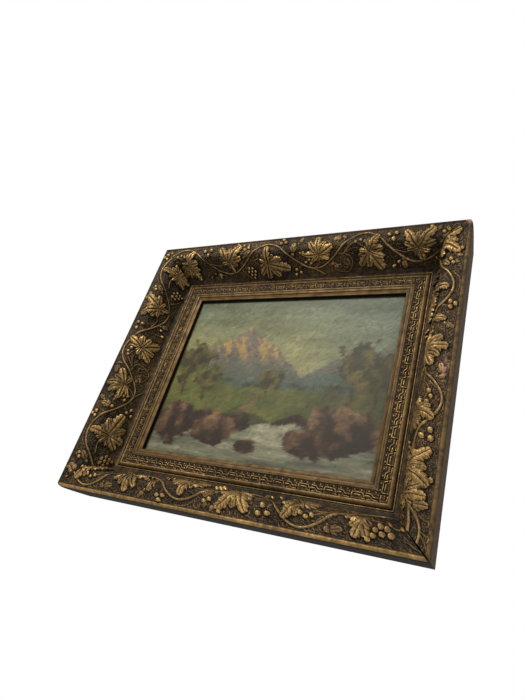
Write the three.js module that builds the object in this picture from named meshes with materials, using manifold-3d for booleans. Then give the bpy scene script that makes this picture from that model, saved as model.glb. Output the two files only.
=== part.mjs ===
// A framed oil painting: a deep gilt moulding with a running grape vine, a smooth gilt slip inside
// it, and a canvas on a stretcher. Millimetres.
//
// Everything is drawn flat first, as it is seen from the front: X to the right, Y up, and Z from the
// back of the frame towards the viewer. The last lines stand it upright against the wall.

import * as THREE from 'three';
import { mergeVertices } from 'three/addons/utils/BufferGeometryUtils.js';
import Module from 'manifold-3d';

const wasm = await Module();
wasm.setup();

// ---- Driving dimensions ----

const frameWidth = 664;
const frameHeight = 565;
const frameDepth = 82;
const fitGap = 0.3; // between any two neighbouring pieces
const mitreGap = 0.15; // each mitred face is set back by this, square to the cut
const openMitreGap = 1.1; // the same at the outer end of the mitre that has opened

// Distances inward from the frame's outer edge, and depths behind its crest.
const sideLean = 8.4; // the side slopes in by this towards the back
const edgeRound = 5;
const groundStart = 6.4;
const groundDepth = 1.4;
const shoulderStart = 31;
const wallTop = new THREE.Vector2(43.5, 20);
const wallFoot = new THREE.Vector2(57.5, 50);
const floorStart = 64.5;
const floorDepth = 55.4;
const beadStart = 71;
const beadWidth = 7.2;
const beadHeight = 2.6;
const bandDepth = 54.6;
const railLip = 93.8;
const lipThickness = 3.6;
const rabbetWall = 84;

const slipLipWidth = 3.4;
const slipLipDepth = 53;
const slipStepDepth = 56;
const slipStepStart = 102;
const sightEdge = 108.8;
const sightDepth = 58.7;
const sightThickness = 6.9;
const slipRabbetWall = 101.5;

const backInset = 0.3; // the slip and the stretcher stop just short of the wall
const canvasWidth = 457; // a stock 18 by 14 inch canvas
const canvasHeight = 356;
const canvasThickness = 1;
const stretcherWidth = 40;
const stretcherBevel = 3;

// The vine: one repeat of the ornament holds four turns, a first crest, a trough, a second crest and
// a trough. Along the rail, places are drawn in millimetres from a crest; across it, along the face
// from the ground's outer edge.
const drawnTurn = 103; // from one turn to the next
const turnsInRepeat = 4;
const vineFirstCrest = 10.5;
const vineSecondCrest = 5;
const vineTrough = 69.5;
const vineRadius = 2.2;
const ornamentRoot = -6; // how far each raised form is rooted below the face
const berryRadius = 3.4;

// Each rail, clockwise from the top. quarter is how many quarter turns bring it to its side,
// vineTurns are where its vine turns, from its left end as it is seen with its outer edge up, and
// vineStart is the place in the repeat of the first of them.
const rails = [
  { side: 'top', length: frameWidth, quarter: 0, vineStart: 2, vineTurns: [64, 179, 274, 375, 479, 573] },
  { side: 'right', length: frameHeight, quarter: -1, vineStart: 0, vineTurns: [144, 246, 348, 441, 534] },
  { side: 'bottom', length: frameWidth, quarter: 2, vineStart: 2, vineTurns: [178, 284, 390, 493, 596] },
  { side: 'left', length: frameHeight, quarter: 1, vineStart: 0, vineTurns: [115, 207, 295, 400, 501] },
];

// The radius that each outer corner is rubbed to, clockwise from the left end of the top rail.
const wornCorners = [9, 12, 7, 14];

// ---- Closed meshes and booleans ----

function solidOf(geometry) {
  const bare = geometry.clone();
  bare.deleteAttribute('normal');
  bare.deleteAttribute('uv');
  const merged = mergeVertices(bare, 1e-4);
  const vertProperties = new Float32Array(merged.attributes.position.array);
  const triVerts = new Uint32Array(merged.index.array);
  return new wasm.Manifold(new wasm.Mesh({ numProp: 3, vertProperties, triVerts }));
}

function geometryOf(solid) {
  const mesh = solid.getMesh();
  const geometry = new THREE.BufferGeometry();
  geometry.setAttribute('position', new THREE.BufferAttribute(mesh.vertProperties, 3));
  geometry.setIndex(new THREE.BufferAttribute(mesh.triVerts, 1));
  return geometry;
}

// ---- Straight mitred strips ----

// A section is drawn with x inward from the frame's outer edge and y up from its back. The strip
// runs along X with its outer edge at Y = 0, its inner side below and its face towards +Z.
function stripOf(section, length, curveSegments) {
  const geometry = new THREE.ExtrudeGeometry(section, { depth: length, bevelEnabled: false, curveSegments });
  const inward = new THREE.Vector3(0, -1, 0);
  const towardsViewer = new THREE.Vector3(0, 0, 1);
  const along = new THREE.Vector3(-1, 0, 0);
  geometry.applyMatrix4(new THREE.Matrix4().makeBasis(inward, towardsViewer, along));
  geometry.translate(length / 2, 0, 0);
  return solidOf(geometry);
}

// A mitred end, from its inner point out: how far in from the strip's end each point lies, and how
// far in from its outer edge. The gap is the cut's set-back at the outer edge. A worn corner is
// rubbed off over its radius.
function mitredEnd(gap, worn) {
  const outside = 20;
  const inside = 160;
  const cutAt = (inward) => inward + Math.SQRT2 * THREE.MathUtils.lerp(gap, mitreGap, inward / railLip);
  if (worn === 0) {
    return [[cutAt(inside), inside], [cutAt(-outside), -outside]];
  }
  const rubbed = worn * (1 - Math.SQRT1_2);
  const beyond = (worn - rubbed) * (outside / rubbed);
  return [[cutAt(inside), inside], [cutAt(rubbed), rubbed], [worn + beyond, -outside]];
}

const plainEnd = mitredEnd(mitreGap, 0);

// The room between the two mitred ends of a strip.
function mitreRoom(length, start, end) {
  const front = frameDepth + 30;
  const outline = new THREE.Shape();
  outline.setFromPoints([
    ...start.toReversed().map(([along, inward]) => new THREE.Vector2(along - length / 2, -inward)),
    ...end.map(([along, inward]) => new THREE.Vector2(length / 2 - along, -inward)),
  ]);
  const room = new THREE.ExtrudeGeometry(outline, { depth: front + 10, bevelEnabled: false });
  room.translate(0, 0, -10);
  return solidOf(room);
}

const heightOf = (depth) => frameDepth - depth;

// ---- The rail's section ----

// The carved part of the face, from the ground's outer edge over the shoulder and down the scoop.
function carvedFace() {
  const face = new THREE.Path();
  face.moveTo(groundStart, heightOf(groundDepth));
  face.lineTo(shoulderStart, heightOf(groundDepth));
  face.quadraticCurveTo(shoulderStart + 6.5, heightOf(groundDepth + 0.4), wallTop.x, heightOf(wallTop.y));
  face.lineTo(wallFoot.x, heightOf(wallFoot.y));
  face.quadraticCurveTo(wallFoot.x + 2.3, heightOf(floorDepth), floorStart, heightOf(floorDepth));
  return face;
}

function railSection() {
  const section = new THREE.Shape();
  section.moveTo(sideLean, 0);
  section.lineTo(0, heightOf(edgeRound + 1.5));
  section.quadraticCurveTo(0, frameDepth, edgeRound, frameDepth);
  section.lineTo(groundStart, heightOf(groundDepth));
  for (const curve of carvedFace().curves) {
    section.curves.push(curve);
  }
  section.currentPoint.set(floorStart, heightOf(floorDepth));
  section.lineTo(beadStart, heightOf(floorDepth));
  section.quadraticCurveTo(
    beadStart + beadWidth / 2, heightOf(floorDepth - 2 * beadHeight),
    beadStart + beadWidth, heightOf(bandDepth),
  );
  section.lineTo(railLip, heightOf(bandDepth));
  section.lineTo(railLip, heightOf(bandDepth + lipThickness));
  section.lineTo(rabbetWall, heightOf(bandDepth + lipThickness));
  section.lineTo(rabbetWall, 0);
  return section;
}

// ---- Ornament, laid on the carved face ----

const face = carvedFace();
const faceLength = face.getLength();

// The point a height above the face: along the rail, across the face, and out from it.
function onFace(along, across, height) {
  const share = THREE.MathUtils.clamp(across / faceLength, 0, 1);
  const beyond = across - share * faceLength;
  const point = face.getPointAt(share);
  const tangent = face.getTangentAt(share);
  const inward = point.x + tangent.x * beyond - tangent.y * height;
  const up = point.y + tangent.y * beyond + tangent.x * height;
  return new THREE.Vector3(along, -inward, up);
}

// A leaf's lobes are [direction in degrees, reach]: 0 points along the rail, 90 to its outer edge.
const hangingLeafA = [[88, 35], [18, 31], [-28, 48], [-85, 36], [-135, 33]];
const uprightLeafA = [[180, 29], [125, 32], [85, 34], [32, 33], [-50, 22]];
const hangingLeafB = [[58, 34], [-5, 29], [-55, 44], [-98, 32], [-134, 35]];
const uprightLeafB = [[127, 39], [48, 43], [5, 30], [-78, 27], [198, 21]];
const budLobes = (direction, reach) => [[direction, reach], [direction + 180, reach * 0.6]];

// Places are [along, across], drawn from the crest that the form belongs to.
const leavesAtCrestA = [
  { at: [-1, 52], lobes: hangingLeafA, height: 6.5 },
  { at: [115, 40], lobes: uprightLeafA, height: 6.5 },
];
const leavesAtCrestB = [
  { at: [9, 41], lobes: hangingLeafB, height: 6.5 },
  { at: [107, 41], lobes: uprightLeafB, height: 6.5 },
];
const budsAtCrestA = [{ at: [60, 33], lobes: budLobes(80, 18), height: 5 }];
const budsAtCrestB = [{ at: [75, 66], lobes: budLobes(-80, 14), height: 4.2 }];

const clusterRows = [2, 3, 2];
const clusterPitch = 8.6;
const berriesAtCrestA = [
  [36, 4], [31, 12], [42, 11], [84, 55], [93, 51],
  ...clusterRows.flatMap((count, row) => Array.from({ length: count }, (_, k) => [
    -49 + (k - (count - 1) / 2) * clusterPitch + row * 1.5, 60 + row * clusterPitch * 0.86,
  ])),
];
const berriesAtCrestB = [[50, 15], [64, 13], [60, 25]];

// Each lobe has a blunt tip, and a hollow between it and the next.
function leafRim(lobes) {
  const sorted = [...lobes].sort((a, b) => a[0] - b[0]);
  const rim = [];
  for (const [index, [direction, reach]] of sorted.entries()) {
    const last = index === sorted.length - 1;
    const [nextDirection, nextReach] = last ? [sorted[0][0] + 360, sorted[0][1]] : sorted[index + 1];
    const span = nextDirection - direction;
    const isBud = lobes.length === 2;
    rim.push({ angle: direction, reach, ridge: 1 });
    rim.push({ angle: direction + span * 0.3, reach: reach * (isBud ? 0.5 : 0.78), ridge: 0.8 });
    const hollow = isBud ? nextReach * 0.5 : Math.min(reach, nextReach) * 0.5;
    rim.push({ angle: direction + span * 0.62, reach: hollow, ridge: 0.3 });
  }
  return rim;
}

// Rings of points from the middle of the leaf out to its rim, once over the leaf and once under it.
function leafSolid(along, across, lobes, height) {
  const rim = leafRim(lobes);
  const rings = lobes.length === 2 ? [1] : [0.55, 1];
  const positions = [];
  const put = (ring, point, out) => {
    const radians = THREE.MathUtils.degToRad(point.angle);
    const reach = point.reach * ring;
    const place = onFace(along + reach * Math.cos(radians), across - reach * Math.sin(radians), out);
    positions.push(place.x, place.y, place.z);
  };
  const crown = (ring, ridge) => (ring === 1 ? height * 0.42 : height * (0.45 + 0.55 * ridge));
  put(0, rim[0], rings.length === 1 ? height : height * 0.6);
  put(0, rim[0], ornamentRoot);
  for (const ring of rings) {
    for (const point of rim) {
      put(ring, point, crown(ring, point.ridge));
      put(ring, point, ornamentRoot);
    }
  }
  const over = (ring, k) => 2 + 2 * (ring * rim.length + (k % rim.length));
  const under = (ring, k) => over(ring, k) + 1;
  const outer = rings.length - 1;
  const faces = [];
  for (let k = 0; k < rim.length; k += 1) {
    faces.push(0, over(0, k), over(0, k + 1));
    faces.push(1, under(0, k + 1), under(0, k));
    for (let ring = 0; ring < outer; ring += 1) {
      faces.push(over(ring, k), over(ring + 1, k), over(ring + 1, k + 1));
      faces.push(over(ring, k), over(ring + 1, k + 1), over(ring, k + 1));
      faces.push(under(ring, k), under(ring + 1, k + 1), under(ring + 1, k));
      faces.push(under(ring, k), under(ring, k + 1), under(ring + 1, k + 1));
    }
    faces.push(over(outer, k), under(outer, k), under(outer, k + 1));
    faces.push(over(outer, k), under(outer, k + 1), over(outer, k + 1));
  }
  const geometry = new THREE.BufferGeometry();
  geometry.setAttribute('position', new THREE.Float32BufferAttribute(positions, 3));
  geometry.setIndex(faces);
  return solidOf(geometry);
}

function berrySolid(along, across) {
  const berry = new THREE.IcosahedronGeometry(berryRadius, 0);
  const place = onFace(along, across, berryRadius * 0.35);
  berry.translate(place.x, place.y, place.z);
  return solidOf(berry);
}

// A round stem through the given places on the face.
function stemSolid(places, radius, sides, steps) {
  const points = places.map(([along, across]) => onFace(along, across, radius * 0.5));
  const section = new THREE.Shape();
  for (let k = 0; k < sides; k += 1) {
    const angle = (2 * Math.PI * k) / sides;
    section[k ? 'lineTo' : 'moveTo'](radius * Math.cos(angle), radius * Math.sin(angle));
  }
  const extrudePath = new THREE.CatmullRomCurve3(points);
  return solidOf(new THREE.ExtrudeGeometry(section, { extrudePath, steps, bevelEnabled: false }));
}

// Where a turn of the rail's vine, or a share of the way to the next one, comes along the rail.
function alongAt(rail, turn) {
  const last = rail.vineTurns.length - 1;
  const place = THREE.MathUtils.clamp(turn - rail.vineStart, 0, last);
  const before = Math.min(Math.floor(place), last - 1);
  const within = THREE.MathUtils.lerp(rail.vineTurns[before], rail.vineTurns[before + 1], place - before);
  return within + (turn - rail.vineStart - place) * drawnTurn - rail.length / 2;
}

const isFirstCrest = (turn) => THREE.MathUtils.euclideanModulo(turn, turnsInRepeat) === 0;

function vineAcross(turn) {
  const crest = isFirstCrest(2 * Math.round(turn / 2)) ? vineFirstCrest : vineSecondCrest;
  return THREE.MathUtils.lerp(vineTrough, crest, Math.cos((Math.PI * turn) / 2) ** 2);
}

// The turns of the vine that the rail holds, with a margin beyond each mitre so that forms run
// through it.
function turnsOf(rail) {
  const first = rail.vineStart - Math.ceil(rail.vineTurns[0] / drawnTurn) - 1;
  const afterLast = (rail.length - rail.vineTurns.at(-1)) / drawnTurn;
  const last = rail.vineStart + rail.vineTurns.length + Math.ceil(afterLast);
  return [first, last];
}

function vineSolid(rail) {
  const stepsPerTurn = 4.5;
  const margin = 15;
  const [first, last] = turnsOf(rail);
  const count = Math.round((last - first) * stepsPerTurn);
  const places = Array.from({ length: count + 1 }, (_, k) => {
    const turn = first + k / stepsPerTurn;
    return [alongAt(rail, turn), vineAcross(turn)];
  }).filter(([along]) => Math.abs(along) < rail.length / 2 + margin);
  return stemSolid(places, vineRadius, 4, places.length - 1);
}

// Whether a berry's middle is between the rail's mitres, so that no cap of it is left hanging.
function standsWhole(rail, along, across) {
  const inward = -onFace(along, across, 0).y;
  return Math.abs(along) + inward < rail.length / 2 - berryRadius * 0.3;
}

function ornamentOf(rail) {
  const forms = [vineSolid(rail)];
  const reaches = (along) => Math.abs(along) < rail.length / 2 + 30;
  const [first, last] = turnsOf(rail);
  for (let crest = 2 * Math.ceil(first / 2); crest <= last; crest += 2) {
    const isFirst = isFirstCrest(crest);
    const placed = ([along, across]) => [alongAt(rail, crest + along / drawnTurn), across];
    const leaves = isFirst ? [...leavesAtCrestA, ...budsAtCrestA] : [...leavesAtCrestB, ...budsAtCrestB];
    for (const leaf of leaves) {
      const [along, across] = placed(leaf.at);
      if (reaches(along)) {
        forms.push(leafSolid(along, across, leaf.lobes, leaf.height));
      }
    }
    for (const place of isFirst ? berriesAtCrestA : berriesAtCrestB) {
      const [along, across] = placed(place);
      if (standsWhole(rail, along, across)) {
        forms.push(berrySolid(along, across));
      }
    }
  }
  return forms;
}

function railSolid(rail, start, end) {
  let solid = stripOf(railSection(), rail.length, 3);
  for (const form of ornamentOf(rail)) {
    solid = solid.add(form);
  }
  return solid.intersect(mitreRoom(rail.length, start, end));
}

// ---- The slip, the canvas and the stretcher ----

function slipSection() {
  const outer = railLip + fitGap;
  const shelf = heightOf(bandDepth + lipThickness + fitGap);
  const section = new THREE.Shape();
  section.moveTo(rabbetWall + fitGap, backInset);
  section.lineTo(rabbetWall + fitGap, shelf);
  section.lineTo(outer, shelf);
  section.lineTo(outer, heightOf(slipLipDepth + 1));
  section.lineTo(outer + 0.8, heightOf(slipLipDepth));
  section.lineTo(outer + slipLipWidth - 0.8, heightOf(slipLipDepth));
  section.lineTo(outer + slipLipWidth, heightOf(slipLipDepth + 1.2));
  section.lineTo(slipStepStart, heightOf(slipStepDepth - 1));
  section.lineTo(slipStepStart + 0.3, heightOf(slipStepDepth));
  section.quadraticCurveTo(
    slipStepStart + 3, heightOf(sightDepth - 1.4),
    sightEdge - 1.6, heightOf(sightDepth - 0.6),
  );
  section.lineTo(sightEdge, heightOf(sightDepth));
  section.lineTo(sightEdge, heightOf(sightDepth + sightThickness));
  section.lineTo(slipRabbetWall, heightOf(sightDepth + sightThickness));
  section.lineTo(slipRabbetWall, backInset);
  return section;
}

const canvasFace = heightOf(sightDepth + sightThickness + fitGap);

function canvasSolid() {
  const sheet = new THREE.BoxGeometry(canvasWidth, canvasHeight, canvasThickness);
  sheet.translate(0, 0, canvasFace - canvasThickness / 2);
  return solidOf(sheet);
}

// The canvas turns over the stretcher, so the bars stand this far inside its edges. A bar carries the
// canvas only along its outer edge, and is bevelled away from it inside.
const turnover = canvasThickness + fitGap;

function stretcherSection() {
  const front = canvasFace - canvasThickness - fitGap;
  const section = new THREE.Shape();
  section.moveTo(0, backInset);
  section.lineTo(0, front);
  section.lineTo(stretcherWidth * 0.3, front);
  section.lineTo(stretcherWidth, front - stretcherBevel);
  section.lineTo(stretcherWidth, backInset);
  return section;
}

// ---- The whole ----

const gilding = { color: '#6a5531', roughness: 0.5, metalness: 0.6 };
const slipGilding = { color: '#96783f', roughness: 0.4, metalness: 0.8 };
const paint = { color: '#6d7052', roughness: 0.45, metalness: 0 };
const bareWood = { color: '#a98658', roughness: 0.8, metalness: 0 };

const painting = new THREE.Group();

const facing = new THREE.Vector3(0, 0, 1);

// A strip is turned to its side of the frame, its outer edge the inset in from the frame's.
function addPiece(name, solid, finish, rail, inset = 0) {
  const mesh = new THREE.Mesh(geometryOf(solid), new THREE.MeshStandardMaterial(finish));
  mesh.name = name;
  if (rail) {
    const across = rail.quarter % 2 ? frameWidth : frameHeight;
    mesh.rotation.z = (rail.quarter * Math.PI) / 2;
    mesh.position.set(0, across / 2 - inset, 0).applyAxisAngle(facing, mesh.rotation.z);
  }
  painting.add(mesh);
}

for (const [index, rail] of rails.entries()) {
  const start = mitredEnd(rail.side === 'bottom' ? openMitreGap : mitreGap, wornCorners[index]);
  const nextCorner = wornCorners[(index + 1) % rails.length];
  const end = mitredEnd(rail.side === 'right' ? openMitreGap : mitreGap, nextCorner);
  addPiece(`rail_${rail.side}`, railSolid(rail, start, end), gilding, rail);
}
for (const rail of rails) {
  const room = mitreRoom(rail.length, plainEnd, plainEnd);
  addPiece(`slip_${rail.side}`, stripOf(slipSection(), rail.length, 3).intersect(room), slipGilding, rail);
}
addPiece('canvas', canvasSolid(), paint);
for (const rail of rails) {
  const isUpright = rail.quarter % 2 !== 0;
  const margin = isUpright ? (frameWidth - canvasWidth) / 2 : (frameHeight - canvasHeight) / 2;
  const barLength = (isUpright ? canvasHeight : canvasWidth) - 2 * turnover;
  const bar = stripOf(stretcherSection(), barLength, 1).intersect(mitreRoom(barLength, plainEnd, plainEnd));
  addPiece(`stretcher_${rail.side}`, bar, bareWood, rail, margin + turnover);
}

// The origin is where the frame meets the wall: the middle of the top rail's flat back.
const upright = new THREE.Group();
painting.position.y = -(frameHeight / 2 - (sideLean + rabbetWall) / 2);
upright.rotation.x = Math.PI / 2;
upright.add(painting);

export default upright;
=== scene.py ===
"""A framed oil painting: vine-carved bronzed rails, a gilt slip, and a canvas on its stretcher.

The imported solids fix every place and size. This script carves the rails' fine relief, shapes the
slip, paints the canvas and gives each surface its finish. Sections are drawn in millimetres; meshes
are in metres, in the frame's own axes: X to the right, Y into the wall, Z up.
"""

from __future__ import annotations

import logging
import math
from dataclasses import dataclass, field
from enum import Enum
from typing import Sequence

import bpy
import numpy as np
from mathutils import Matrix, Vector


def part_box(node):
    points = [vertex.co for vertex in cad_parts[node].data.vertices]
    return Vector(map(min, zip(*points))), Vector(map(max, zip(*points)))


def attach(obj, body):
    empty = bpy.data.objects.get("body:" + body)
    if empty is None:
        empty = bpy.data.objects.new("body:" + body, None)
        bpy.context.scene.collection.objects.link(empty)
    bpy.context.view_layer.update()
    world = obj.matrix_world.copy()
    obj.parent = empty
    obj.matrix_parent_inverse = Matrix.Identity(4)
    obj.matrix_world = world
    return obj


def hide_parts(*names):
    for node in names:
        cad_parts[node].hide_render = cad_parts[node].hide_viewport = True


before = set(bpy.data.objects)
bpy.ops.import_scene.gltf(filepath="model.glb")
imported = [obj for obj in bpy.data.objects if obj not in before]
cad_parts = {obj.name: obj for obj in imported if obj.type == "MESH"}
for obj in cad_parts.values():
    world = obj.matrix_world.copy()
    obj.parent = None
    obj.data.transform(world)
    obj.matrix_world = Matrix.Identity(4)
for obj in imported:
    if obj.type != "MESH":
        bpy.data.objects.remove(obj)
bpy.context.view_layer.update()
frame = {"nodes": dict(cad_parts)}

MM = 0.001
# From the crest of the moulding back to the wall, in millimetres.
CREST_DEPTH = 82.0
BODY = "root"
LOG = logging.getLogger("painting")

Colour = tuple[float, float, float]
Place = tuple[float, float]


# ---- Shader building ----


@dataclass(frozen=True)
class Value:
    """A number or colour that varies over a surface: one output socket of a finish."""

    sheet: "NodeSheet"
    socket: bpy.types.NodeSocket

    def __add__(self, other: "Operand") -> "Value":
        """Adds."""
        return self.sheet.maths("ADD", self, other)

    def __radd__(self, other: "Operand") -> "Value":
        """Adds, from the right."""
        return self.sheet.maths("ADD", other, self)

    def __sub__(self, other: "Operand") -> "Value":
        """Subtracts."""
        return self.sheet.maths("SUBTRACT", self, other)

    def __rsub__(self, other: "Operand") -> "Value":
        """Subtracts this from a number."""
        return self.sheet.maths("SUBTRACT", other, self)

    def __mul__(self, other: "Operand") -> "Value":
        """Multiplies."""
        return self.sheet.maths("MULTIPLY", self, other)

    def __rmul__(self, other: "Operand") -> "Value":
        """Multiplies, from the right."""
        return self.sheet.maths("MULTIPLY", other, self)

    def __pow__(self, other: "Operand") -> "Value":
        """Raises to a power."""
        return self.sheet.maths("POWER", self, other)

    def wave(self) -> "Value":
        """Gives the sine, brought to the range 0 to 1."""
        return 0.5 + 0.5 * self.sheet.maths("SINE", self, 0.0)

    def smooth(self, low: float, high: float) -> "Value":
        """Gives 0 below low, 1 above high, and a smooth step between.

        Args:
            low: where the step starts.
            high: where it ends; below low, the step falls.

        Returns:
            The stepped value.
        """
        settings = {"interpolation_type": "SMOOTHSTEP"}
        if low > high:
            return 1.0 - self.smooth(high, low)
        return self.sheet.node("ShaderNodeMapRange", settings, {0: self, 1: low, 2: high})


Operand = Value | float


class NodeSheet:
    """One material and the nodes that make it."""

    def __init__(self, name: str) -> None:
        """Starts a material with a single surface shader."""
        self.material = bpy.data.materials.new(name)
        self.material.use_nodes = True
        self.tree = self.material.node_tree
        self.tree.nodes.clear()
        self.surface = self.tree.nodes.new("ShaderNodeBsdfPrincipled")
        output = self.tree.nodes.new("ShaderNodeOutputMaterial")
        self.tree.links.new(self.surface.outputs[0], output.inputs[0])

    def node(
        self,
        kind: str,
        settings: dict[str, object] | None = None,
        sockets: dict[int | str, object] | None = None,
        output: int | str = 0,
    ) -> Value:
        """Adds a node.

        Args:
            kind: the node's type.
            settings: its own properties, set first.
            sockets: a number, colour or Value for each input that is used.
            output: the output that is wanted.

        Returns:
            That output.
        """
        made = self.tree.nodes.new(kind)
        for name, setting in (settings or {}).items():
            setattr(made, name, setting)
        for name, given in (sockets or {}).items():
            self.feed(made.inputs[name], given)
        return Value(self, made.outputs[output])

    def feed(self, socket: bpy.types.NodeSocket, given: object) -> None:
        """Links a Value to an input, or sets the input to a number or colour."""
        if isinstance(given, Value):
            self.tree.links.new(given.socket, socket)
        elif isinstance(given, tuple) and len(given) == 3 and socket.type == "RGBA":
            socket.default_value = (*given, 1.0)
        else:
            socket.default_value = given

    def maths(self, operation: str, first: Operand, second: Operand) -> Value:
        """Adds one Math node."""
        return self.node("ShaderNodeMath", {"operation": operation}, {0: first, 1: second})

    def attribute(self, name: str) -> Value:
        """Reads a number that the mesh carries at each point."""
        return self.node("ShaderNodeAttribute", {"attribute_name": name}, output="Fac")

    def colour_attribute(self, name: str) -> Value:
        """Reads a colour that the mesh carries at each point."""
        return self.node("ShaderNodeAttribute", {"attribute_name": name}, output="Color")

    def here(self) -> Value:
        """Gives the place on the piece, in metres."""
        return self.node("ShaderNodeTexCoord", output="Object")

    def stretched(self, across: Vector | tuple[float, float, float]) -> Value:
        """Gives the place, scaled along each axis."""
        return self.node(
            "ShaderNodeVectorMath", {"operation": "MULTIPLY"}, {0: self.here(), 1: tuple(across)}
        )

    def noise(self, size_mm: float, detail: float = 3.0, place: Value | None = None) -> Value:
        """Gives a cloudy pattern.

        Args:
            size_mm: about how far apart its clouds are.
            detail: how many finer octaves it holds.
            place: where it is read, or None for the place on the piece.

        Returns:
            A value about 0.5.
        """
        sockets = {"Vector": place or self.here(), "Scale": 1.0 / (size_mm * MM), "Detail": detail}
        return self.node("ShaderNodeTexNoise", None, sockets)

    def cells(self, size_mm: float, feature: str = "F1") -> Value:
        """Gives the distance pattern of scattered cells of a size."""
        sockets = {"Vector": self.here(), "Scale": 1.0 / (size_mm * MM)}
        return self.node("ShaderNodeTexVoronoi", {"feature": feature}, sockets)

    def blend(self, share: Operand, first: Value | Colour, second: Value | Colour) -> Value:
        """Mixes two colours: the first at 0, the second at 1."""
        sockets = {0: share, 6: first, 7: second}
        return self.node("ShaderNodeMix", {"data_type": "RGBA"}, sockets, output=2)

    def shade(self, share: Operand, colour: Value, strength: Value) -> Value:
        """Multiplies a colour by a grey, by a share."""
        settings = {"data_type": "RGBA", "blend_type": "MULTIPLY"}
        return self.node("ShaderNodeMix", settings, {0: share, 6: colour, 7: strength}, output=2)

    def bump(self, height: Value, depth_mm: float) -> Value:
        """Turns a height from 0 to 1 into a normal, for a relief of a depth."""
        return self.node("ShaderNodeBump", None, {"Distance": depth_mm * MM, "Height": height})

    def finish(self, **sockets: object) -> bpy.types.Material:
        """Feeds the surface shader, by socket names with _ for a space, and gives the material."""
        for name, given in sockets.items():
            self.feed(self.surface.inputs[name.replace("_", " ")], given)
        return self.material


# ---- Finishes ----


@dataclass(frozen=True)
class BronzedOrnament:
    """Composition ornament, toned with dark umber and rubbed through bronze to old gold."""

    pit: Colour = (0.0075, 0.0052, 0.003)
    umber: Colour = (0.042, 0.0275, 0.0135)
    bronze: Colour = (0.165, 0.100, 0.036)
    gold: Colour = (0.52, 0.335, 0.125)
    copper: Colour = (0.34, 0.20, 0.14)

    def make(self) -> bpy.types.Material:
        """Builds the finish.

        Returns:
            The material.
        """
        sheet = NodeSheet("bronzed_ornament")
        rub = sheet.attribute("rub")
        grime_and_shade = sheet.attribute("grime_and_shade")
        worn = sheet.attribute("worn")
        mottle = sheet.noise(9.0, 5.0)
        grain = sheet.noise(1.3, 2.0)
        shown = rub + 0.50 * (mottle - 0.5) + 0.34 * (grain - 0.5)
        tone = sheet.blend(shown.smooth(0.06, 0.30), self.pit, self.umber)
        tone = sheet.blend(shown.smooth(0.30, 0.66), tone, self.bronze)
        tone = sheet.blend(shown.smooth(0.62, 1.12), tone, self.gold)
        tone = sheet.blend(worn * mottle.smooth(0.35, 0.6), tone, self.copper)
        # The hollows go towards pit: umber toning together with painted shade.
        tone = sheet.blend(grime_and_shade.smooth(0.06, 0.50), tone, self.pit)
        pitted = sheet.noise(0.8, 3.0)
        height = 0.6 * pitted + 0.4 * grain
        return sheet.finish(
            Base_Color=tone,
            Metallic=0.08 + 0.50 * shown.smooth(0.45, 1.0),
            Roughness=0.66 - 0.26 * shown.smooth(0.35, 1.0) + 0.14 * (mottle - 0.5),
            Normal=sheet.bump(height, 0.5),
            Specular_IOR_Level=0.17,
        )


@dataclass(frozen=True)
class GiltSlip:
    """Smooth gilding, streaked along its length, darkened in its grooves and by painted shade."""

    gold: Colour = (0.17, 0.104, 0.037)
    brown: Colour = (0.064, 0.036, 0.0135)
    dirt_and_shade: Colour = (0.010, 0.0075, 0.005)

    def make(self) -> bpy.types.Material:
        """Builds the finish.

        Returns:
            The material.
        """
        sheet = NodeSheet("gilt_slip")
        along = sheet.attribute("along")
        across = sheet.attribute("across")
        grime_and_shade = sheet.attribute("grime_and_shade")
        lines = sheet.node(
            "ShaderNodeCombineXYZ", None, {0: along * 0.02, 1: across * 0.9, 2: 0.0}
        )
        streak = sheet.node("ShaderNodeTexNoise", None, {"Vector": lines, "Scale": 1.0, "Detail": 4.0})
        mottle = sheet.noise(14.0, 5.0)
        fleck = sheet.noise(0.8, 2.0)
        shown = 0.5 * streak + 0.5 * mottle + 0.15 * (fleck - 0.5)
        tone = sheet.blend(shown.smooth(0.36, 0.60), self.brown, self.gold)
        # Goes towards a near black where the grooves are darkened and where shade is painted.
        tone = sheet.blend(grime_and_shade, tone, self.dirt_and_shade)
        return sheet.finish(
            Base_Color=tone,
            Metallic=0.15 + 0.25 * shown.smooth(0.4, 0.6),
            Roughness=0.56 - 0.10 * shown,
            Specular_IOR_Level=0.14,
            Normal=sheet.bump(0.6 * streak + 0.4 * fleck, 0.18),
        )


@dataclass(frozen=True)
class BareWood:
    """Plain aged softwood, its grain along one axis."""

    name: str
    along: tuple[float, float, float]
    pale: Colour = (0.34, 0.21, 0.105)
    dark: Colour = (0.155, 0.085, 0.038)

    def make(self) -> bpy.types.Material:
        """Builds the finish.

        Returns:
            The material.
        """
        sheet = NodeSheet(self.name)
        drawn = sheet.stretched(self.along)
        rings = sheet.noise(9.0, 3.0, drawn)
        pores = sheet.noise(1.6, 4.0, drawn)
        stain = sheet.noise(60.0, 3.0)
        grain = (rings * 38.0).wave()
        tone = sheet.blend(0.55 * grain + 0.45 * pores, self.pale, self.dark)
        tone = sheet.shade(0.6, tone, sheet.blend(stain, (0.45, 0.40, 0.34), (1.0, 1.0, 1.0)))
        return sheet.finish(
            Base_Color=tone,
            Roughness=0.74 + 0.1 * pores,
            Normal=sheet.bump(0.5 * grain + 0.5 * pores, 0.35),
            Specular_IOR_Level=0.3,
        )


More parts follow.
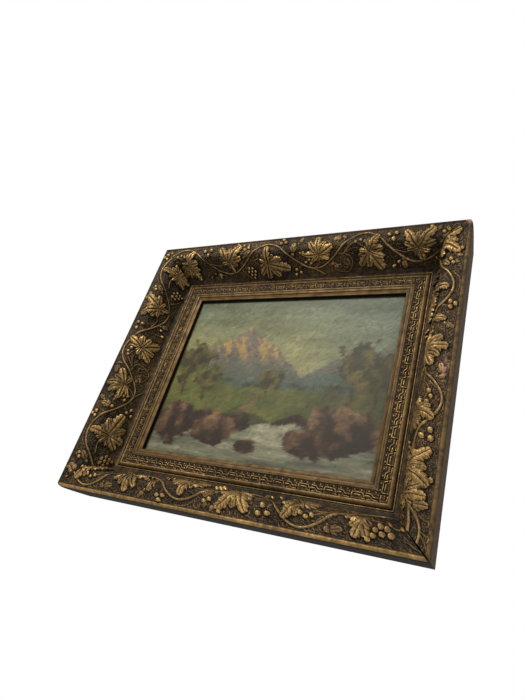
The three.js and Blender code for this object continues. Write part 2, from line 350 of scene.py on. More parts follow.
@dataclass(frozen=True)
class OilPaint:
    """Thin oil paint on primed canvas, under an old satin varnish."""

    thread_mm: float = 0.75
    age: Colour = (0.055, 0.042, 0.022)

    def make(self) -> bpy.types.Material:
        """Builds the finish.

        Returns:
            The material.
        """
        sheet = NodeSheet("oil_paint")
        picture = sheet.colour_attribute("paint")
        body = sheet.attribute("body")
        weave = woven(sheet, self.thread_mm)
        bloom = sheet.noise(70.0, 4.0)
        cracks = sheet.cells(11.0, "DISTANCE_TO_EDGE").smooth(0.035, 0.012) * bloom.smooth(0.5, 0.68)
        tone = sheet.blend(0.14 * bloom.smooth(0.35, 0.7), picture, self.age)
        tone = sheet.blend(0.10 * (1.0 - weave), tone, self.age)
        tone = sheet.blend(0.35 * cracks, tone, self.age)
        return sheet.finish(
            Base_Color=tone,
            Roughness=0.46 + 0.14 * bloom - 0.05 * body,
            Normal=sheet.bump(0.35 * weave + 0.65 * body - 0.3 * cracks, 0.32),
            Specular_IOR_Level=0.24,
            Coat_Weight=0.05,
            Coat_Roughness=0.35,
        )


@dataclass(frozen=True)
class RawLinen:
    """The unprimed back of the canvas."""

    thread_mm: float = 0.75
    pale: Colour = (0.32, 0.245, 0.15)
    dark: Colour = (0.155, 0.112, 0.062)

    def make(self) -> bpy.types.Material:
        """Builds the finish.

        Returns:
            The material.
        """
        sheet = NodeSheet("raw_linen")
        weave = woven(sheet, self.thread_mm)
        stain = sheet.noise(80.0, 4.0)
        slub = sheet.noise(2.5, 3.0)
        share = 0.55 * weave + 0.45 * slub
        tone = sheet.blend(share, self.dark, self.pale)
        tone = sheet.shade(0.7, tone, sheet.blend(stain, (0.42, 0.34, 0.26), (1.0, 1.0, 1.0)))
        return sheet.finish(
            Base_Color=tone, Roughness=0.9, Normal=sheet.bump(weave, 0.25), Specular_IOR_Level=0.2
        )


def woven(sheet: NodeSheet, thread_mm: float) -> Value:
    """Gives a plain weave in the plane of the wall.

    Args:
        sheet: the finish that it is for.
        thread_mm: the distance from thread to thread.

    Returns:
        The weave's height, 0 to 1.
    """
    turn = math.pi / (thread_mm * MM)
    split = sheet.tree.nodes.new("ShaderNodeSeparateXYZ")
    sheet.tree.links.new(sheet.here().socket, split.inputs[0])
    weft = sheet.maths("SINE", Value(sheet, split.outputs[0]) * turn, 0.0)
    warp = sheet.maths("SINE", Value(sheet, split.outputs[2]) * turn, 0.0)
    return 0.5 + 0.5 * weft * warp


@dataclass(frozen=True)
class PaleFloor:
    """A plain pale studio floor."""

    tone: Colour = (0.80, 0.795, 0.78)

    def make(self) -> bpy.types.Material:
        """Builds the finish.

        Returns:
            The material.
        """
        sheet = NodeSheet("pale_floor")
        cloud = sheet.noise(400.0, 2.0)
        tone = sheet.blend(0.06 * cloud, self.tone, (0.7, 0.7, 0.7))
        return sheet.finish(Base_Color=tone, Roughness=0.85)


# ---- Number helpers ----


def step(value: np.ndarray, low: float, high: float) -> np.ndarray:
    """Gives a smooth step from 0 at low to 1 at high."""
    share = np.clip((value - low) / (high - low), 0.0, 1.0)
    return share * share * (3.0 - 2.0 * share)


def clouds(x: np.ndarray, y: np.ndarray, size: float, seed: int, octaves: int = 1) -> np.ndarray:
    """Gives smooth random clouds.

    Args:
        x: the first coordinate of each point.
        y: the second coordinate.
        size: the distance between the largest clouds.
        seed: which clouds.
        octaves: how many times they are repeated at half the size.

    Returns:
        Values about 0, within about -1 to 1.
    """
    total = np.zeros(np.broadcast(x, y).shape)
    weight = 1.0
    for octave in range(octaves):
        lattice = np.random.default_rng(seed + 101 * octave).uniform(-1.0, 1.0, (128, 128))
        u = x / size + 37.3
        v = y / size + 11.7
        i = np.floor(u).astype(int)
        j = np.floor(v).astype(int)
        a = step(u - i, 0.0, 1.0)
        b = step(v - j, 0.0, 1.0)
        i0, i1 = i % 128, (i + 1) % 128
        j0, j1 = j % 128, (j + 1) % 128
        low = lattice[i0, j0] * (1 - a) + lattice[i1, j0] * a
        high = lattice[i0, j1] * (1 - a) + lattice[i1, j1] * a
        total += weight * (low * (1 - b) + high * b)
        weight *= 0.5
        size *= 0.5
    return total


def worm_tracks(x: np.ndarray, y: np.ndarray, size: float, seed: int) -> np.ndarray:
    """Gives a ground of short winding ridges, 0 between them and 1 on top of them."""
    first = step(np.abs(clouds(x, y, size, seed)), 0.22, 0.02)
    second = step(np.abs(clouds(x + 5.0, y, size * 0.8, seed + 7)), 0.16, 0.02)
    return np.maximum(first, 0.8 * second)


def blurred(field: np.ndarray, radius: int) -> np.ndarray:
    """Gives a field averaged twice over a square about each cell."""
    out = field.astype(float)
    for _ in range(2):
        for axis in (0, 1):
            pad = [(0, 0), (0, 0)]
            pad[axis] = (radius + 1, radius)
            total = np.cumsum(np.pad(out, pad, mode="edge"), axis=axis)
            width = 2 * radius + 1
            high = np.take(total, np.arange(width, total.shape[axis]), axis=axis)
            low = np.take(total, np.arange(0, total.shape[axis] - width), axis=axis)
            out = (high - low) / width
    return out


def spline(places: Sequence[Place], spacing: float) -> np.ndarray:
    """Gives points along a smooth curve through places.

    Args:
        places: the places, in order.
        spacing: the distance between the points, about.

    Returns:
        One row of two coordinates for each point.
    """
    knots = np.array(places, float)
    ends = np.vstack([2 * knots[0] - knots[1], knots, 2 * knots[-1] - knots[-2]])
    rows = []
    for a, b, c, d in zip(ends, ends[1:], ends[2:], ends[3:]):
        count = max(2, int(np.linalg.norm(c - b) / spacing))
        t = np.linspace(0.0, 1.0, count, endpoint=False)[:, None]
        rows.append(
            0.5 * (2 * b + (c - a) * t + (2 * a - 5 * b + 4 * c - d) * t**2 + (3 * b - a - 3 * c + d) * t**3)
        )
    rows.append(knots[-1:])
    return np.vstack(rows)


def curl(middle: Place, radius: float, start: float, turns: float, ending: float) -> list[Place]:
    """Gives the places of a tendril's curl.

    Args:
        middle: its middle.
        radius: its radius where it starts.
        start: the direction of its start from the middle, in degrees.
        turns: how far it turns; below 0 for clockwise.
        ending: its radius where it ends.

    Returns:
        The places.
    """
    count = max(6, int(abs(turns) * 12))
    places = []
    for k in range(count + 1):
        share = k / count
        angle = math.radians(start + 360.0 * turns * share)
        reach = radius + (ending - radius) * share
        places.append((middle[0] + reach * math.cos(angle), middle[1] - reach * math.sin(angle)))
    return places


# ---- Meshes ----


def mesh_piece(
    name: str,
    points: np.ndarray,
    faces: Sequence[Sequence[int]],
    numbers: dict[str, np.ndarray] | None = None,
    colours: dict[str, np.ndarray] | None = None,
) -> bpy.types.Object:
    """Makes a smooth-shaded mesh in the scene.

    Args:
        name: the piece's name.
        points: its points, in metres.
        faces: its faces, as rows of point numbers.
        numbers: numbers that the finish reads at each point.
        colours: colours that the finish reads at each point.

    Returns:
        The piece.
    """
    mesh = bpy.data.meshes.new(name)
    mesh.from_pydata(points.tolist(), [], faces)
    for key, values in (numbers or {}).items():
        mesh.attributes.new(key, "FLOAT", "POINT").data.foreach_set("value", values.astype(np.float32))
    for key, values in (colours or {}).items():
        rgba = np.ones((len(values), 4), np.float32)
        rgba[:, :3] = values
        mesh.color_attributes.new(key, "FLOAT_COLOR", "POINT").data.foreach_set("color", rgba.ravel())
    mesh.shade_smooth()
    piece = bpy.data.objects.new(name, mesh)
    bpy.context.scene.collection.objects.link(piece)
    return piece


def crease(piece: bpy.types.Object, rank: np.ndarray) -> None:
    """Makes an edge hard where both its ends have the same rank, above 0."""
    mesh = piece.data
    ends = np.zeros(2 * len(mesh.edges), np.int32)
    mesh.edges.foreach_get("vertices", ends)
    pairs = rank[ends.reshape(-1, 2)]
    hard = (pairs[:, 0] & pairs[:, 1]) > 0
    mesh.attributes.new("sharp_edge", "BOOLEAN", "EDGE").data.foreach_set("value", hard)


def strip_faces(columns: int, rows: int) -> list[list[int]]:
    """Gives a mitred length's faces: quads round it, and one face at each end.

    Args:
        columns: the points along it.
        rows: the points once round its section.

    Returns:
        The faces.
    """
    i = np.arange(columns - 1)[:, None]
    j = np.arange(rows)[None, :]
    following = (j + 1) % rows
    quads = np.stack([i * rows + j, i * rows + following, (i + 1) * rows + following, (i + 1) * rows + j], -1)
    faces = quads.reshape(-1, 4).tolist()
    faces.append(list(range(rows))[::-1])
    last = (columns - 1) * rows
    faces.append(list(range(last, last + rows)))
    return faces


class Side(Enum):
    """A side of the frame, with its quarter turns from the top, clockwise."""

    TOP = 0
    RIGHT = 1
    BOTTOM = 2
    LEFT = 3

    @property
    def is_upright(self) -> bool:
        """Whether the side runs up and down."""
        return self.value % 2 == 1

    @property
    def word(self) -> str:
        """The side's name, as the nodes have it."""
        return self.name.lower()


@dataclass(frozen=True)
class Outline:
    """The frame's outer edge, in millimetres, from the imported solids."""

    half_width: float
    top: float
    bottom: float
    depth: float

    @staticmethod
    def from_solids() -> "Outline":
        """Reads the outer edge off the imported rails."""
        return Outline(
            half_width=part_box("rail_right")[1].x / MM,
            top=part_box("rail_top")[1].z / MM,
            bottom=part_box("rail_bottom")[0].z / MM,
            depth=CREST_DEPTH,
        )

    def length(self, side: Side) -> float:
        """Gives a side's outer length."""
        return self.top - self.bottom if side.is_upright else 2 * self.half_width

    def place(self, side: Side, along: np.ndarray, inward: np.ndarray, depth: np.ndarray) -> np.ndarray:
        """Gives points on a side.

        Args:
            side: the side.
            along: the distance clockwise from the side's middle.
            inward: the distance in from the outer edge.
            depth: the distance behind the crest.

        Returns:
            The points, in metres.
        """
        half = self.half_width if side.is_upright else (self.top - self.bottom) / 2
        x, z = along, half - inward
        for _ in range(side.value):
            x, z = z, -x
        middle = (self.top + self.bottom) / 2
        return np.stack([x, depth - self.depth, z + middle], -1) * MM


# ---- Sections ----


@dataclass
class SectionPath:
    """A section, drawn piece by piece from (inward, depth) to (inward, depth)."""

    rows: list[Place] = field(default_factory=list)
    corners: set[int] = field(default_factory=set)

    def begin(self, inward: float, depth: float) -> "SectionPath":
        """Starts the section at a hard corner."""
        self.corners.add(0)
        self.rows.append((inward, depth))
        return self

    def line(self, inward: float, depth: float, spacing: float, hard: bool = False) -> "SectionPath":
        """Draws a straight stretch to a place."""
        start = self.rows[-1]
        middle = ((start[0] + inward) / 2, (start[1] + depth) / 2)
        return self.bend(middle, (inward, depth), spacing, hard)

    def bend(self, pull: Place, end: Place, spacing: float, hard: bool = False) -> "SectionPath":
        """Draws a curve that leaves and arrives towards a third place.

        Args:
            pull: the place that both ends of the curve point at.
            end: where it ends.
            spacing: the distance between rows of points.
            hard: whether it ends at a hard corner.

        Returns:
            The section itself.
        """
        start = np.array(self.rows[-1])
        fine = np.linspace(0.0, 1.0, 60)[:, None]
        curve = (1 - fine) ** 2 * start + 2 * fine * (1 - fine) * np.array(pull) + fine**2 * np.array(end)
        run = np.r_[0.0, np.cumsum(np.linalg.norm(np.diff(curve, axis=0), axis=1))]
        count = max(1, int(round(run[-1] / spacing)))
        for share in np.linspace(0.0, run[-1], count + 1)[1:]:
            inward = float(np.interp(share, run, curve[:, 0]))
            self.rows.append((inward, float(np.interp(share, run, curve[:, 1]))))
        if hard:
            self.corners.add(len(self.rows) - 1)
        return self

    def arrays(self, zero: Place) -> tuple[np.ndarray, np.ndarray, np.ndarray, np.ndarray]:
        """Gives the rows as arrays.

        Args:
            zero: the place from which the distance across is measured.

        Returns:
            Each row's inward and depth, its outward direction, and its distance across.
        """
        line = np.array(self.rows)
        across = np.r_[0.0, np.cumsum(np.linalg.norm(np.diff(line, axis=0), axis=1))]
        across -= across[np.argmin(np.linalg.norm(line - np.array(zero), axis=1))]
        reach = 1.6
        inward_on = np.interp(across + reach, across, line[:, 0])
        inward_back = np.interp(across - reach, across, line[:, 0])
        depth_on = np.interp(across + reach, across, line[:, 1])
        depth_back = np.interp(across - reach, across, line[:, 1])
        tangent = np.stack([inward_on - inward_back, depth_on - depth_back], -1)
        tangent /= np.linalg.norm(tangent, axis=1)[:, None] + 1e-12
        outward = np.stack([tangent[:, 1], -tangent[:, 0]], -1)
        return line[:, 0], line[:, 1], outward, across


# ---- The rails' ornament ----


class ReliefMap:
    """Heights above the bare moulding, on an even grid of its unrolled face."""

    pitch = 0.4

    def __init__(self, length: float, low: float, high: float) -> None:
        """Starts a flat map.

        Args:
            length: the rail's outer length, centred on 0.
            low: the lowest distance across the face.
            high: the highest.
        """
        margin = 12.0
        self.along = np.arange(-length / 2 - margin, length / 2 + margin, self.pitch)
        self.across = np.arange(low, high, self.pitch)
        self.height = np.zeros((len(self.along), len(self.across)))

    def window(self, middle: Place, reach: float) -> tuple[slice, slice, np.ndarray, np.ndarray]:
        """Gives the part of the map about a place.

        Args:
            middle: the place.
            reach: how far the part goes on each side of it.

        Returns:
            The part's two slices, and how far each cell lies along and outward from the place.
        """
        i = int((middle[0] - reach - self.along[0]) / self.pitch)
        j = int((middle[1] - reach - self.across[0]) / self.pitch)
        count = int(2 * reach / self.pitch) + 2
        rows = slice(max(i, 0), max(i + count, 0))
        columns = slice(max(j, 0), max(j + count, 0))
        x = self.along[rows][:, None] - middle[0]
        y = middle[1] - self.across[columns][None, :]
        return rows, columns, x, y

    def lay(self, rows: slice, columns: slice, height: np.ndarray) -> None:
        """Lays a form on the map: the higher of the two stays."""
        self.height[rows, columns] = np.maximum(self.height[rows, columns], height)

    def read(self, field: np.ndarray, along: np.ndarray, across: np.ndarray) -> np.ndarray:
        """Reads a field of the map's own grid at any places."""
        u = np.clip((along - self.along[0]) / self.pitch, 0, len(self.along) - 1.001)
        v = np.clip((across - self.across[0]) / self.pitch, 0, len(self.across) - 1.001)
        i = u.astype(int)
        j = v.astype(int)
        a = u - i
        b = v - j
        low = field[i, j] * (1 - a) + field[i + 1, j] * a
        high = field[i, j + 1] * (1 - a) + field[i + 1, j + 1] * a
        return low * (1 - b) + high * b


@dataclass(frozen=True)
class Lobe:
    """One broad finger of a leaf: pillowed on each side of its vein, toothed, and lifted at its tip."""

    root: Place
    direction: float
    reach: float
    fullness: float
    crown: float

    def carve(self, relief: ReliefMap) -> None:
        """Lays the lobe on the map."""
        angle = math.radians(self.direction)
        middle = (
            self.root[0] + 0.5 * self.reach * math.cos(angle),
            self.root[1] - 0.5 * self.reach * math.sin(angle),
        )
        rows, columns, x, y = relief.window(middle, 0.62 * self.reach + 2.0)
        share = (x * math.cos(angle) + y * math.sin(angle)) / self.reach + 0.5
        aside = np.abs(y * math.cos(angle) - x * math.sin(angle))
        along = np.clip(share, 1e-3, 1.0)
        tooth = np.mod(along * self.reach / 8.5 + 0.2, 1.0)
        fall = 2.13 * along**0.62 * (1.0 - along) ** 0.5
        half = self.reach * (0.05 + self.fullness * fall) * (0.80 + 0.28 * tooth) + 1e-6
        out = np.clip(aside / half, 0.0, 1.0)
        inside = (share > -0.03) & (share < 1.0) & (aside < half)
        pillow = 0.50 + 0.50 * np.sin(math.pi * (0.17 + 0.83 * out))
        vein = 0.20 * np.exp(-((aside / 0.75) ** 2))
        rib = np.abs(np.mod((along * self.reach - 0.75 * aside) / 6.2, 1.0) - 0.5) * 2.0
        ribs = 0.15 * step(rib, 0.72, 1.0) * step(out, 0.08, 0.3)
        swell = 0.58 + 0.42 * np.sin(math.pi * np.clip(0.08 + 0.80 * along, 0.0, 1.0))
        relief.lay(rows, columns, np.where(inside, self.crown * swell * (pillow - vein - ribs), 0.0))


@dataclass(frozen=True)
class Leaf:
    """A vine leaf: broad lobes about a middle, one lying a little over the next."""

    at: Place
    lobes: tuple[Place, ...]
    height: float = 7.0
    fullness: float = 0.19

    def carve(self, relief: ReliefMap, at: Place) -> None:
        """Lays the leaf on the map with its middle at a place."""
        for k, (direction, reach) in enumerate(self.lobes):
            crown = self.height * (1.0 - 0.13 * (k % 2))
            Lobe(at, direction, reach, self.fullness, crown).carve(relief)
            for turn in (-34.0, 34.0):
                Lobe(at, direction + turn, reach * 0.66, self.fullness * 0.85, crown * 0.72).carve(relief)


@dataclass(frozen=True)
class Berry:
    """A grape: a little more than half a ball, on its own short wall."""

    at: Place
    radius: float = 3.5

    def carve(self, relief: ReliefMap, at: Place) -> None:
        """Lays the berry on the map at a place."""
        rows, columns, x, y = relief.window(at, self.radius + 1.0)
        share = np.clip(1.0 - (x * x + y * y) / self.radius**2, 0.0, 1.0)
        height = self.radius * (0.55 + 0.95 * np.sqrt(share))
        relief.lay(rows, columns, np.where(share > 0.0, height, 0.0))


@dataclass(frozen=True)
class Stem:
    """A round stem, stalk or tendril through places, thinning from its start to its end."""

    places: tuple[Place, ...]
    radius: float
    ending: float

    def carve(self, relief: ReliefMap, places: Sequence[Place]) -> None:
        """Lays the stem on the map through the places given."""
        line = spline(places, relief.pitch * 0.9)
        radii = np.linspace(self.radius, self.ending, len(line))
        for (along, across), radius in zip(line, radii):
            rows, columns, x, y = relief.window((along, across), radius + 0.3)
            if x.size == 0 or y.size == 0:
                continue
            share = 1.0 - (x * x + y * y) / radius**2
            height = radius * (0.75 + 0.85 * np.sqrt(np.clip(share, 0.0, 1.0)))
            relief.lay(rows, columns, np.where(share > 0.0, height, 0.0))


def bud(at: Place, direction: float, reach: float, height: float) -> Leaf:
    """Gives a small leaf of one long lobe and a short one behind."""
    lobes = ((direction, reach), (direction + 180.0, reach * 0.45))
    return Leaf(at, lobes, height, 0.24)


def cluster(at: Place, counts: Sequence[int], pitch: float) -> list[Berry]:
    """Gives a bunch of grapes, row under row, narrowing to its tip.

    Args:
        at: the middle of its first row.
        counts: the grapes in each row.
        pitch: the distance from grape to grape.

    Returns:
        The grapes.
    """
    grapes = []
    for row, count in enumerate(counts):
        for k in range(count):
            along = at[0] + (k - (count - 1) / 2) * pitch + row * 1.5
            grapes.append(Berry((along, at[1] + row * pitch * 0.86), 3.6))
    return grapes


@dataclass(frozen=True)
class CrestOrnament:
    """What belongs to one crest of the vine, with places from that crest."""

    leaves: tuple[Leaf, ...]
    berries: tuple[Berry, ...]
    stems: tuple[Stem, ...]


def tendril(*places: Place, radius: float = 0.95) -> Stem:
    """Gives a thin tendril that thins to its end."""
    return Stem(tuple(places), radius, radius * 0.6)


FIRST_CREST = CrestOrnament(
    leaves=(
        Leaf((-1, 52), ((88, 35), (24, 29), (-17, 50), (-55, 37), (-97, 36), (-132, 33), (152, 21))),
        Leaf((115, 40), ((180, 29), (130, 31), (93, 34), (56, 27), (24, 33), (-32, 23), (222, 23))),
        bud((60, 33), 80, 19, 5.2),
        bud((78, 36), -20, 12, 4.6),
        bud((73, 13), 60, 13, 3.4),
        bud((160, 9), 195, 17, 3.6),
        bud((-57, 33), 40, 17, 3.4),
        bud((-51, 15), 85, 9, 3.0),
        bud((150, 66), 200, 11, 3.2),
    ),
    berries=(
        Berry((36, 4), 3.8), Berry((31, 12), 3.6), Berry((42, 11), 3.8),
        Berry((84, 55), 3.2), Berry((92, 50), 3.2), Berry((95, 58), 3.2),
        Berry((60, 69), 3.3), Berry((69, 76), 3.5), Berry((57, 80), 3.3),
        *cluster((-49, 60), (2, 3, 2, 1), 8.4),
    ),
    stems=(
        tendril((-40, 44), (-20, 41), (-1, 52), radius=1.3),
        tendril((100, 70), (112, 58), (115, 42), radius=1.3),
        tendril((96, 69), (108, 76), (119, 84), radius=1.5),
        tendril((-29, 13), (-18, 4), (-5, 1.6), (10, 1.5)),
        tendril((-31, 14), *curl((-37, 8), 5.4, -20, 0.95, 4.6)),
        tendril((36, 22), (38, 15), (36, 8)),
        tendril((-62, 62), (-54, 56), (-49, 58), radius=1.2),
        tendril((86, 70), (90, 64), (90, 56)),
        tendril((72, 62), (66, 68), (62, 76)),
        tendril((130, 62), (136, 72), *curl((131, 77), 4.2, 30, -1.1, 1.6)),
    ),
)

SECOND_CREST = CrestOrnament(
    leaves=(
        Leaf((9, 41), ((56, 34), (8, 28), (-28, 31), (-60, 45), (-95, 33), (-124, 36), (170, 18))),
        Leaf((107, 41), ((127, 39), (90, 25), (50, 43), (12, 31), (-30, 22), (-78, 27), (190, 21))),
        bud((75, 66), -80, 15, 4.4),
        bud((-63, 63), 170, 9, 3.2),
        bud((-40, 14), 85, 9, 3.0),
        bud((140, 12), 70, 10, 3.0),
    ),
    berries=(
        Berry((-16, 24), 3.1), Berry((-7, 21), 3.1), Berry((2, 25), 3.1),
        Berry((50, 15), 4.0), Berry((64, 13), 4.0), Berry((60, 25), 3.7),
        Berry((55, 75), 3.5), Berry((66, 67), 3.4),
        Berry((128, 5), 3.4), Berry((134, 10), 3.2), Berry((150, 20), 3.6), Berry((158, 16), 3.4),
    ),
    stems=(
        tendril((-42, 42), (-18, 25), (9, 41), radius=1.3),
        tendril((-42, 43), (-20, 34), (4, 41), radius=1.1),
        tendril((62, 44), (82, 50), (107, 41), radius=1.3),
        tendril((134, 64), (144, 76), (153, 83), radius=1.5),
        tendril((-51, 42), (-33, 47), (-28, 62), (-38, 80), (-52, 80), (-66, 73), radius=1.2),
        tendril((-33, 66), *curl((-40, 61.5), 5.8, -30, 1.0, 4.6)),
        tendril((-32, 25), (-22, 15), *curl((-25, 9), 4.0, -20, 1.0, 3.4)),
        tendril((-22, 14), (-8, 6), (4, 2), (15, 1.5)),
        tendril((-17, 9), *curl((-13, 5), 3.0, 200, -0.9, 2.6)),
        tendril((48, 30), (52, 24), (50, 18)),
        tendril((76, 58), (80, 70), *curl((86, 75), 4.6, 140, 1.1, 1.8)),
    ),
)


# What fills the lower right corner in place of the repeat, with places from each rail's left end.
LOWER_CORNER_LEVEL = CrestOrnament(
    leaves=(
        Leaf((91, 31), ((74, 27), (112, 25), (38, 19), (150, 15)), 7.5, 0.27),
        bud((84, 40), 50, 14, 4.4),
        bud((104, 34), 20, 13, 4.0),
    ),
    berries=(
        Berry((50, 16), 4.2), Berry((62, 16), 3.9), Berry((56, 23), 3.9), Berry((54, 30), 3.4),
        Berry((65, 25), 3.9), Berry((71.5, 20), 3.7), Berry((73.5, 12.5), 3.8), Berry((80, 7), 3.6),
        Berry((37, 26.5), 2.6),
    ),
    stems=(
        tendril((84, 34), (66, 34), (45, 25), (34, 26), (29, 21), (24, 17), radius=1.3),
        tendril((12, 4), (20, 7), (27.5, 12.5), (36, 20)),
        tendril((60, 31), (58, 27)),
    ),
)

LOWER_CORNER_UPRIGHT = CrestOrnament(
    leaves=(
        bud((497, 24), 88, 20, 5.4),
        Leaf((484, 44), ((86, 36), (118, 31), (150, 29), (205, 26), (-40, 22), (-95, 26)), 7.2),
    ),
    berries=(Berry((512, 40), 3.4), Berry((521, 44), 3.4), Berry((515, 49), 3.2)),
    stems=(
        Stem(((552, 31), (530, 25), (512, 26.5), (500, 29), (488, 38)), 2.0, 1.8),
        tendril((505, 20), (519, 12.5), (532, 10), (546, 2), (556, -2), radius=1.1),
        tendril((511, 14), *curl((520, 4.5), 4.4, 200, -1.0, 3.8)),
        tendril((530, 10), *curl((538.5, 1.5), 4.0, 200, -1.0, 3.4)),
    ),
)


TURNS_IN_REPEAT = 4
DRAWN_TURN = 103.0


@dataclass(frozen=True)
class Run:
    """Where a rail's vine turns, from its left end as it is seen with its outer edge up.

    One repeat holds a first crest, a trough, a second crest and a trough. start is the place in the
    repeat of the first turn that is given.
    """

    start: int
    turns: tuple[float, ...]

    def along(self, turn: np.ndarray | float) -> np.ndarray:
        """Gives the place along the rail of a turn, or of a share of the way to the next."""
        last = len(self.turns) - 1
        place = np.clip(np.asarray(turn) - self.start, 0, last)
        within = np.interp(place, np.arange(last + 1), self.turns)
        return within + (np.asarray(turn) - self.start - place) * DRAWN_TURN

    def span(self, length: float) -> tuple[int, int]:
        """Gives the first and last turn that a rail of a length holds, with a margin."""
        first = self.start - math.ceil(self.turns[0] / DRAWN_TURN) - 1
        after = math.ceil((length - self.turns[-1]) / DRAWN_TURN)
        return first, self.start + len(self.turns) + after


@dataclass(frozen=True)
class Moulding:
    """The rail's section and the vine that runs over it, in millimetres."""

    depth: float = CREST_DEPTH
    side_lean: float = 8.4
    edge_round: float = 5.0
    ground_start: float = 6.4
    ground_depth: float = 1.4
    shoulder_start: float = 31.0
    wall_top: Place = (43.5, 20.0)
    wall_foot: Place = (57.5, 50.0)
    floor_start: float = 64.5
    floor_depth: float = 55.4
    bead_start: float = 71.0
    bead_width: float = 7.2
    bead_height: float = 2.6
    band_depth: float = 54.6
    lip: float = 93.8
    lip_thickness: float = 3.6
    rabbet_wall: float = 84.0
    vine_first_crest: float = 10.5
    vine_second_crest: float = 5.0
    vine_trough: float = 69.5
    vine_radius: float = 1.75

    def section(self) -> SectionPath:
        """Draws the section, once round, from the outer edge of the back.

        Returns:
            The section.
        """
        path = SectionPath().begin(self.side_lean, self.depth)
        path.line(0.0, self.edge_round + 1.5, 8.0)
        path.bend((0.0, 0.0), (self.edge_round, 0.0), 0.9)
        path.line(self.ground_start, self.ground_depth, 0.7)
        path.line(self.shoulder_start, self.ground_depth, 0.92)
        pull = (self.shoulder_start + 6.5, self.ground_depth + 0.4)
        path.bend(pull, self.wall_top, 0.92)
        path.line(*self.wall_foot, 0.92)
        path.bend((self.wall_foot[0] + 2.3, self.floor_depth), (self.floor_start, self.floor_depth), 0.92)
        path.line(self.bead_start, self.floor_depth, 0.7)
        bead_end = self.bead_start + self.bead_width
        crown = (self.bead_start + self.bead_width / 2, self.floor_depth - 2 * self.bead_height)
        path.bend(crown, (bead_end, self.band_depth), 0.7)
        path.line(self.lip, self.band_depth, 0.68, hard=True)
        path.line(self.lip, self.band_depth + self.lip_thickness, 2.0, hard=True)
        path.line(self.rabbet_wall, self.band_depth + self.lip_thickness, 6.0, hard=True)
        path.line(self.rabbet_wall, self.depth, 8.0, hard=True)
        path.line(self.side_lean + 12.0, self.depth, 12.0)
        return path

    def vine_across(self, turns: np.ndarray) -> np.ndarray:
        """Gives where the vine runs: crests at even turns, the first of four the lower one."""
        is_first = np.mod(2 * np.round(turns / 2), TURNS_IN_REPEAT) < 0.5
        crest = np.where(is_first, self.vine_first_crest, self.vine_second_crest)
        share = np.cos(0.5 * math.pi * turns) ** 2
        return self.vine_trough + (crest - self.vine_trough) * share


# The band's pattern, drawn once: places along it, and across it from its outer edge.
KEY_PITCH = 43.4
KEY_RIDGES: tuple[tuple[Place, ...], ...] = (
    ((-1.0, 4.2), (0.8, 9.6), (16.5, 10.2), (17.6, 5.0)),
    ((4.5, 6.0), (12.5, 6.4)),
    ((21.0, 5.6), (27.5, 5.2), (31.0, 9.8), (38.0, 10.0)),
    ((34.0, 6.2), (40.0, 6.0)),
    ((20.5, 9.5), (25.5, 9.9)),
)
KEY_GROOVES: tuple[tuple[Place, ...], ...] = (
    ((-10.0, 2.6), (-0.5, 2.9), (2.6, 7.9), (15.5, 8.3)),
    ((-4.5, 1.0), (-4.5, 4.0)),
    ((19.0, 2.2), (27.5, 3.2), (32.0, 7.8), (37.5, 8.0)),
    ((19.2, 1.0), (19.2, 14.5)),
    ((-2.4, 8.0), (-2.4, 14.6)),
)
KEY_PEARLS: tuple[Place, ...] = ((3.0, 13.0), (13.4, 13.1), (24.6, 12.7), (35.0, 12.9))


def line_distance(p: np.ndarray, q: np.ndarray, line: Sequence[Place]) -> np.ndarray:
    """Gives how far each place (p, q) is from a line of straight stretches."""
    nearest = np.full(np.broadcast(p, q).shape, 99.0)
    for (p0, q0), (p1, q1) in zip(line, line[1:]):
        run = (p1 - p0, q1 - q0)
        share = np.clip(((p - p0) * run[0] + (q - q0) * run[1]) / (run[0] ** 2 + run[1] ** 2), 0.0, 1.0)
        nearest = np.minimum(nearest, np.hypot(p - p0 - share * run[0], q - q0 - share * run[1]))
    return nearest


@dataclass(frozen=True)
class Wear:
    """A rubbed or knocked place on a rail: its middle along and across, and its size."""

    along: float
    across: float
    length: float
    width: float


